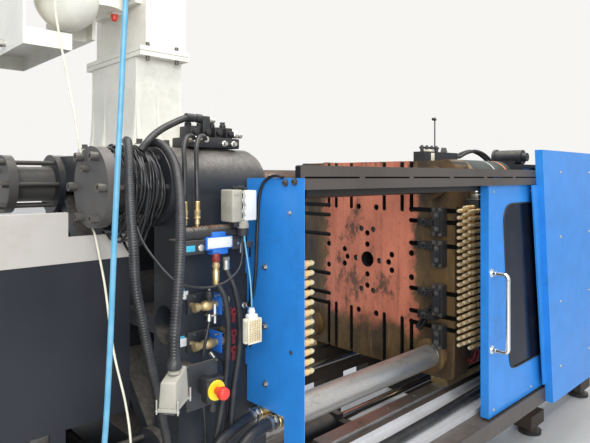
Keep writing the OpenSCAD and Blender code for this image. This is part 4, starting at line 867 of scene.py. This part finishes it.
def estop():
    """Emergency stop: a black box with rounded edges on a flanged plate, a yellow collar and a red mushroom."""
    box, collar, plate, red = meshes(4)
    block(box, (-431, -870, 1150), (-368, -834, 1229), 6, 3)
    block(box, (-418, -836, 1164), (-382, -796, 1216), 4)
    block(box, (-429, -838.5, 1152), (-370, -832.5, 1227), 2)
    turned(box, [(9.5, 1118), (11.5, 1122), (11.5, 1140), (10, 1142), (10, 1152)], (-400, -852, 0), steps=12)
    for x in (-426.5, -372.5):
        for z in (1155, 1224):
            turned(box, [(4.2, 869), (4.2, 871.5), (2.5, 871.8)], (x, 0, z), "-Y", 10)
    turned(collar, [(13.5, 869.8), (31.8, 869.8), (31.8, 874), (30, 876.2), (18, 876.2), (13.5, 875)], (-398, 0, 1190),
            "-Y", 36)
    blocks(plate, 2, (-462, -797, 1112, -340, -790.5, 1262), (-420, -791, 1150, -380, -650, 1230))
    for x in (-456, -346):
        for z in (1119, 1255):
            turned(plate, [(5, 796), (5, 801), (3.5, 802)], (x, 0, z), "-Y", 6)
    turned(red, [(11.8, 815), (11.8, 888), (15.5, 890), (17.5, 898), (20, 902), (20.2, 912), (19, 918.5), (15, 922.5),
            (8, 924.5)], (-398, 0, 1190), "-Y", 36)
    piece("stop_box", box, BLACK_PLASTIC, replaces="estop_box")
    piece("stop_collar", collar, YELLOW)
    piece("stop_plate", plate, CAST)
    piece("stop_mushroom", red, RED, body="estop_button", replaces="estop_button")


def junction_box():
    """Two-part connector box: a grey back, a white front half, a wire lever, a clamp and a gland."""
    grey, white, dark, wire = meshes(4)
    block(grey, (-273, -792, 1712), (-229, -720, 1826), 6, 3)
    blocks(grey, 2, (-268, -794.5, 1806, -240, -790, 1820), (-200, -723, 1745, -160, -650, 1795))
    turned(grey, sleeve(20.5, 21.5, 19.5, 1690, 1706, 1717, 2), (-217.5, -777.5, 0), steps=22)
    block(white, (-225, -800, 1716), (-171, -722, 1823), 5, 3)
    block(white, (-176, -770, 1735), (-163, -735, 1760), 2)
    block(dark, (-231, -788, 1718), (-222, -724, 1821), 1)
    blocks(dark, 3, (-254, -785, 1824, -200, -752, 1833.5), (-244, -790, 1831, -216, -748, 1838.5))
    for x in (-250, -208):
        turned(dark, rod(6, 1832, 1838.5), (x, -768, 0), steps=10)
    for k, r in enumerate((20.5, 21.2, 21.2, 19.5)):
        turned(dark, [(r - 1.2, 1663 + k * 7), (r, 1664.2 + k * 7), (r, 1668.8 + k * 7), (r - 1.2, 1670 + k * 7)],
                (-217.5, -777.5, 0), steps=14)
    block(dark, (-262, -788, 1694), (-240, -760, 1713), 4)
    piece("box_grey_half", grey, DIECAST, replaces="connector_box")
    piece("box_white_half", white, PALE_BOX)
    piece("box_clamp", dark, BLACK_PLASTIC)
    points = [(-236, -797, 1820), (-231, -802, 1806), (-240, -804, 1788), (-233, -804, 1768), (-240, -804, 1748),
            (-232, -803, 1734), (-238, -799, 1716), (-230, -803, 1702)]
    other = [(x + 7, y - 1, z) for x, y, z in points[:6]]
    strand("box_wire_lever", [smooth_line(points, 6), smooth_line(other, 6)], 1.4, ZINC, fine=2)


def couplings(name, node, body, rows, pitch, start, axis, plate, carriers, columns=2, longer=1.0):
    """A rack of quick couplings: bodies of dull brass, painted brighter and less metallic than the other brass as a
    painted reflection of the window light, steel tips, and the black plate that carries them.
    """
    brass, steel, back = meshes(3)
    shell = [(7.5, -4), (13, -2), (13, 9), (9.2, 11), (9.2, 16), (12.2, 18), (12.2, 28), (11.4, 28.5), (11.4, 30.5),
            (12.2, 31), (12.2, 40), (8.5, 43)]
    nose = [(8, 42), (8, 46), (10.6, 48), (10.6, 62), (9.2, 65.5), (6, 66), (6, 70)]
    for row in range(rows):
        for column in range(columns):
            at = (start[0], start[1] - 34 * column, start[2] + row * pitch + (column % 2) * pitch / 2)
            turned(brass, [(r, z * longer) for r, z in shell], at, axis, 12)
            turned(steel, [(r, z + 43 * (longer - 1)) for r, z in nose], at, axis, 12)
    block(back, *plate, 3)
    for low, high in carriers:
        block(back, low, high, 2)
    piece(name + "_bodies", brass, LIT_RACK_BRASS, body, replaces=node)
    piece(name + "_tips", steel, RACK_TIP, body)
    piece(name + "_plate", back, DARK, body)


def bolt_head(mesh, at, axis, radius, high):
    """A hexagon screw on its washer, standing out of a surface along an axis."""
    turned(mesh, [(radius * 1.5, -0.4), (radius * 1.5, 1.2), (radius * 1.35, 1.6)], at, axis, 18)
    turned(mesh, [(radius * 0.96, 1), (radius, 1.6), (radius, high - 0.8), (radius * 0.9, high)], at, axis, 6)


def post_details():
    """Screws, a dark hole and two black socket screws on the front post."""
    bright, dark = meshes(2)
    for y, z in ((-767, 1537), (-767, 1318), (-770, 1105)):
        bolt_head(bright, (-105, y, z), "-X", 8.5, 10)
    bolt_head(bright, (-105, -902, 1743), "-X", 5.5, 6)
    for y, z in ((-881, 1849), (-928, 1853)):
        turned(dark, [(13.5, 0), (13.5, 2), (9.5, 2.2), (9.5, 11), (4.5, 11.2), (4.5, 6)], (-105, y, z), "-X", 16)
    turned(dark, [(7.5, -0.5), (7.5, 1), (4, 1.2)], (-105, -907, 1252), "-X", 16)
    piece("post_screws", bright, ZINC)
    piece("post_dark_screws", dark, BOLT)


def platen_screws():
    """Screws sunk in the moving platen's holes and the clamps' screws."""
    bright = bmesh.new()
    for sy in (-1, 1):
        for sz in (-1, 1):
            turned(bright, [(18.2, -30), (18.2, -12), (16, -10), (7, -10), (7, -18)],
                    (1449, sy * 50, 1320 + sz * 203), "-X", 18)
    for z in (1460, 1180, 1040, 1600):
        bolt_head(bright, (1404, -465, z), "-X", 13, 12)
        bolt_head(bright, (1404, -520, z), "-X", 10, 10)
    piece("platen_hole_screws", bright, BOLT, body="moving_platen")


def window_gasket():
    """Black rubber gasket round the front door's window, its corners rounded."""
    x, y, z = 1536, -930.5, 790
    rounding = 0.02
    outline = [(10, 60), (30, 12), (90, 0), (980, 0), (1030, 40), (1030, 880), (980, 930), (30, 930), (-30, 915),
            (-62, 860)]
    corners = [Vector((x + a, y, z + b)) / MM for a, b in outline]
    line = []
    for k, point in enumerate(corners):
        before, after = corners[k - 1] - point, corners[(k + 1) % len(corners)] - point
        start = point + before.normalized() * min(rounding, before.length / 3)
        end = point + after.normalized() * min(rounding, after.length / 3)
        line += [start.lerp(point, t).lerp(point.lerp(end, t), t) for t in (0, 0.25, 0.5, 0.75, 1)]
    strand("window_gasket", [line], 4.8, RUBBER, body="front_door", fine=2, closed=True)


HELD = {
    "post": [(-112, -871, 1868), (-112, -850, 1874), (-112, -817, 1874), (-112, -778, 1858), (-112, -749, 1822),
            (-112, -737, 1765), (-112, -733, 1709), (-113, -731, 1660), (-116, -731, 1600), (-118, -726, 1500),
            (-114, -704, 1420), (-110, -668, 1380), (-110, -651, 1376)],
    "tap_1": [(-331, -735, 1392), (-338, -742, 1362), (-356, -746, 1300), (-369, -748, 1220), (-369, -748, 1140),
            (-356, -744, 1040), (-346, -736, 940), (-338, -700, 862), (-335, -668, 840), (-335, -651, 838)],
    "tap_2": [(-327, -735, 1262), (-318, -742, 1246), (-290, -748, 1226), (-266, -748, 1180), (-258, -746, 1110),
            (-262, -742, 1010), (-270, -722, 920), (-274, -685, 880), (-274, -651, 874)],
}


def held_cables():
    """Short dark cables that are fixed at both ends: one over the post's corner, two from the small valves."""
    lines = {key: even(smooth_line(route, 8), 10) for key, route in HELD.items()}
    strand("post_cable", [lines["post"]], 6.2, JACKET, fine=3)
    strand("tap_cables", [lines["tap_1"], lines["tap_2"]], 5.8, JACKET, fine=3)
    tips = bmesh.new()
    for key in ("tap_1", "tap_2"):
        cuff(tips, lines[key], False, [(6, -22), (7.8, -21), (7.8, -4), (6.2, -2), (6.2, 2)])
        cuff(tips, lines[key], True, sleeve(6, 8.5, 10, -22, -4, 0, 1))
    cuff(tips, lines["post"], True, sleeve(6.5, 9.5, 12, -22, -4, 0, 1))
    piece("cable_tips", tips, ZINC)


def side_clamps():
    """Black clamp blocks with their screws on the moving platen's edge beside the couplings."""
    black, bolts = meshes(2)
    for low, high in ((1520, 1690), (1338, 1496), (1048, 1236), (860, 1000)):
        blocks(black, 4, (1392, -600, low, 1450, -528, high), (1372, -590, low + 22, 1394, -556, high - 22))
        for z in (low + 14, high - 14):
            bolt_head(bolts, (1392, -545, z), "-X", 8.5, 10)
            bolt_head(bolts, (1392, -584, z), "-X", 8.5, 10)
        for z in (low + 45, high - 45):
            bolt_head(bolts, (1372, -573, z), "-X", 10, 12)
    piece("edge_clamps", black, DARK, body="moving_platen")
    piece("edge_clamp_screws", bolts, BOLT, body="moving_platen")


def drum_block():
    """Manifold on the upper cylinder casing: black valve bodies, worn steel fittings and plugs."""
    black, steel, brass = meshes(3)
    block(black, (-300, -568, 1982), (-70, -438, 2022), 4)
    for k in range(4):
        x = -270 + k * 55
        block(black, (x + 2, -524, 2020), (x + 34, -438, 2068), 4)
        turned(black, [(12.5, 2066), (13.5, 2068), (13.5, 2082), (10.5, 2084), (10.5, 2092), (12.5, 2093.5)],
                (x + 18, -476, 0), steps=14)
        turned(black, [(8, 520), (11.5, 522), (11.5, 540), (9, 541)], (x + 18, 0, 2044), "-Y", 12)
    block(black, (-215, -526, 2020), (-180, -490, 2108.5), 5)
    turned(black, [(16.5, -236), (17.5, -234), (17.5, -212)], (0, -508, 2098), "X", 16)
    turned(steel, sleeve(8.5, 12.5, 8.5, -182, -166, -150, 2), (0, -508, 2094), "X", 14)
    for y, z, low in ((-528, 2040, -70), (-500, 2052, -72)):
        turned(steel, [(10.5, low - 4), (13.5, low), (13.5, low + 14), (9.5, low + 16), (9.5, low + 22),
                (12, low + 24), (12, low + 38), (8.5, low + 40)], (0, y, z), "X", 14)
    for x in (-300, -250):
        turned(brass, ring(11.5, 12.5, 566, 582, 2, 10), (x, 0, 2010), "-Y", 6)
    for x in (-150, -105):
        turned(steel, sleeve(9, 11.5, 8, 565, 578, 590, 2), (x, 0, 2000), "-Y", 14)
    piece("drum_block_black", black, DARK, replaces="drum_manifold")
    piece("drum_block_steel", steel, ZINC)
    piece("drum_block_nuts", brass, COUPLER)


def top_fittings():
    """On the moving platen: plugs, one cream block, and two hoses that arch back to the lock housing."""
    cream, steel = meshes(2)
    block(cream, (1528, -442, 1972), (1566, -439.5, 2020), 1)
    block(cream, (1530, -430, 2027.5), (1568, -380, 2043), 3)
    piece("top_cream_block", cream, IVORY, body="moving_platen")
    for x in (1489, 1544, 1599, 1654):
        turned(steel, ring(6, 9, 2058, 2070, 2, 5), (x, -400, 0), steps=10)
    for x in (1700, 1730, 1760, 1790):
        turned(steel, sleeve(8, 11, 7, 2026, 2044, 2060, 2), (x, -415 + 30 * (x > 1745), 0), steps=10)
    piece("top_plugs", steel, BOLT, body="moving_platen")
    arcs = []
    for y, far in ((-418, -470), (-382, -440)):
        arcs.append(smooth_line([(1896, y, 2004), (1920, y, 2006), (1990, y - 6, 2032), (2090, y - 20, 2050),
                (2190, y - 32, 2030), (2250, far, 1985), (2262, far, 1958), (2264, far, 1945)], 8))
    strand("top_hoses", arcs, 11, RUBBER, body="moving_platen", fine=4)


def pull_handle():
    """Front door's bent steel pull with its rosettes."""
    route = [(1336, -928, 952), (1336, -960, 952), (1336, -992, 952), (1336, -1012, 957), (1336, -1020, 974),
            (1336, -1020, 1010), (1336, -1020, 1155), (1336, -1020, 1300), (1336, -1020, 1337), (1336, -1012, 1354),
            (1336, -992, 1359), (1336, -960, 1359), (1336, -928, 1359)]
    strand("pull_bar", [even(smooth_line(route, 10), 6)], 12.2, HANDLE, body="front_door", replaces="front_handle",
            fine=5)
    discs = bmesh.new()
    for z in (952, 1359):
        turned(discs, [(23.5, 930), (23.5, 934), (20.5, 937), (12.5, 938)], (1336, 0, z), "-Y", 28)
        turned(discs, ring(13, 13.8, 952, 958, 1), (1336, 0, z), "-Y", 24)
    piece("pull_rosettes", discs, HANDLE, body="front_door")


def water_hoses():
    """Dark red hoses that run down behind the moving platen's couplings and bend in under it."""
    lines = []
    for x, y in ((1596, -700), (1596, -726)):
        lines.append(even(smooth_line([(x, y, 1728), (x, y, 1640), (x, y + 1, 1400), (x, y - 2, 1150), (x, y, 900),
                (x + 2, y, 830), (x + 6, y + 22, 778), (x + 8, y + 60, 762), (x + 8, -640, 760)], 6), 14))
    strand("water_hoses", lines, 11.5, OXBLOOD, body="moving_platen", fine=3)
    caps = bmesh.new()
    for line in lines:
        cuff(caps, line, False, sleeve(12, 14.5, 10, -30, -4, 4, 2))
    block(caps, (1560, -738, 1728), (1612, -690, 1768), 4)
    turned(caps, [(10, 1766), (13, 1768), (13, 1784), (9, 1787)], (1586, -712, 0), steps=6)
    piece("water_hose_caps", caps, ZINC, body="moving_platen")


def carriage_tip():
    """Small red lamp tip and cable glands under the vertical unit."""
    red = bmesh.new()
    turned(red, [(6, 2522), (12, 2526), (14, 2536), (14, 2549)], (-390, -130, 0), steps=16)
    piece("vertical_red_tip", red, RED, body="vertical_carriage")
    gland = bmesh.new()
    for x, y, z in ((-770, 100, 2372), (-722, 20, 2366), (-665, -100, 2364)):
        turned(gland, [(12, 0), (12, 10), (15, 12), (15, 22), (10, 24), (8, 30)], (-800, y, z), "-X", 12)
    piece("vertical_glands", gland, ZINC, body="vertical_carriage")


def cover_screws():
    """Rows of small screws on the covers and along the doors' edges."""
    still, front, rear = meshes(3)
    for side, axis in ((-1, "-Y"), (1, "Y")):
        for z in (700, 1100, 1500, 1900):
            for x in (2100, 2600, 3100, 3620):
                bolt_head(still, (x, side * 1000, z), axis, 6, 5)
    for y in (-850, -450, 0, 450, 850):
        for z in (620, 1300, 1860):
            bolt_head(still, (3700, y, z), "X", 6, 5)
    for mesh, side, axis in ((front, -1, "-Y"), (rear, 1, "Y")):
        for x in (1360, 1830, 2300, 2660):
            for z in (625, 1790):
                bolt_head(mesh, (x, side * 930, z), axis, 5.5, 4.5)
    piece("cover_screws", still, ZINC)
    piece("front_door_screws", front, ZINC, body="front_door")
    piece("rear_door_screws", rear, ZINC, body="rear_door")


hose_set()
cable_winding()
rotary_valve()
ball_valve_group()
estop()
junction_box()
couplings("fixed_rack", "fixed_water_manifold", "machine_base", 12, 37, (-11, -822, 1120), "X",
        ((-60, -868, 1095), (-10, -806, 1580)), [((-60, -808, z), (-40, -690, z + 50)) for z in (1120, 1500)])
couplings("moving_rack", "moving_water_manifold", "moving_platen", 21, 38.5, (1521, -694, 905), "-X",
        ((1520, -760, 870), (1570, -672, 1740)), [((1520, -674, z), (1560, -650, z + 50)) for z in (950, 1300, 1650)],
        3, 2.1)
post_details()
platen_screws()
window_gasket()
drum_block()
held_cables()
side_clamps()
pull_handle()
water_hoses()
top_fittings()
carriage_tip()
cover_screws()

# Floor and light: white behind for what the camera, glass and gloss see, a soft ambient light for the rest
floor = bpy.data.objects.new("floor", bpy.data.meshes.new("floor"))
bpy.context.collection.objects.link(floor)
ground = bmesh.new()
bmesh.ops.create_grid(ground, x_segments=1, y_segments=1, size=40)
ground.to_mesh(floor.data)
ground.free()
floor.location.z = -0.002
concrete = Finish("pale_floor", rough=0.6)
concrete.colour(concrete.mix(concrete.cloud(0.3, 0.7, 0.7, 5), (0.68, 0.68, 0.67), (0.62, 0.62, 0.61)))
floor.data.materials.append(concrete.material)

world = bpy.data.worlds.new("world")
bpy.context.scene.world = world
bpy.context.scene.view_settings.view_transform = "Standard"
world.use_nodes = True
sky = world.node_tree
sky.nodes.clear()
rays = new_node(sky, "LightPath", {})
seen = new_node(sky, "Math", {0: rays["Is Camera Ray"], 1: rays["Is Transmission Ray"]}, operation="MAXIMUM")[0]
seen = new_node(sky, "Math", {0: seen, 1: rays["Is Glossy Ray"]}, operation="MAXIMUM")[0]
ambient = new_node(sky, "Background", {"Color": (0.93, 0.96, 1.0), "Strength": 0.8})[0]
backdrop = new_node(sky, "Background", {"Color": (0.93, 0.92, 0.90), "Strength": 1.0})[0]
new_node(sky, "OutputWorld", {0: new_node(sky, "MixShader", {0: seen, 1: ambient, 2: backdrop})[0]})


def lamp(name, at, target, size, power, colour=(1, 1, 1)):
    data = bpy.data.lights.new(name, "AREA")
    data.shape = "RECTANGLE"
    data.size, data.size_y = size
    data.energy = power
    data.color = colour
    made = bpy.data.objects.new(name, data)
    bpy.context.collection.objects.link(made)
    made.location = at
    made.rotation_euler = (Vector(target) - Vector(at)).to_track_quat("-Z", "Y").to_euler()


lamp("high_bay", (0.5, -1.5, 7.0), (0.5, 0, 1.0), (8, 4), 430, (1, 0.98, 0.95))
lamp("front_window_light", (-3.5, -6.0, 3.6), (0, -0.5, 1.2), (5, 3), 370, (0.95, 0.98, 1))
lamp("rear_fill", (2.0, 6.0, 4.0), (0, 0, 1.2), (5, 3), 160)
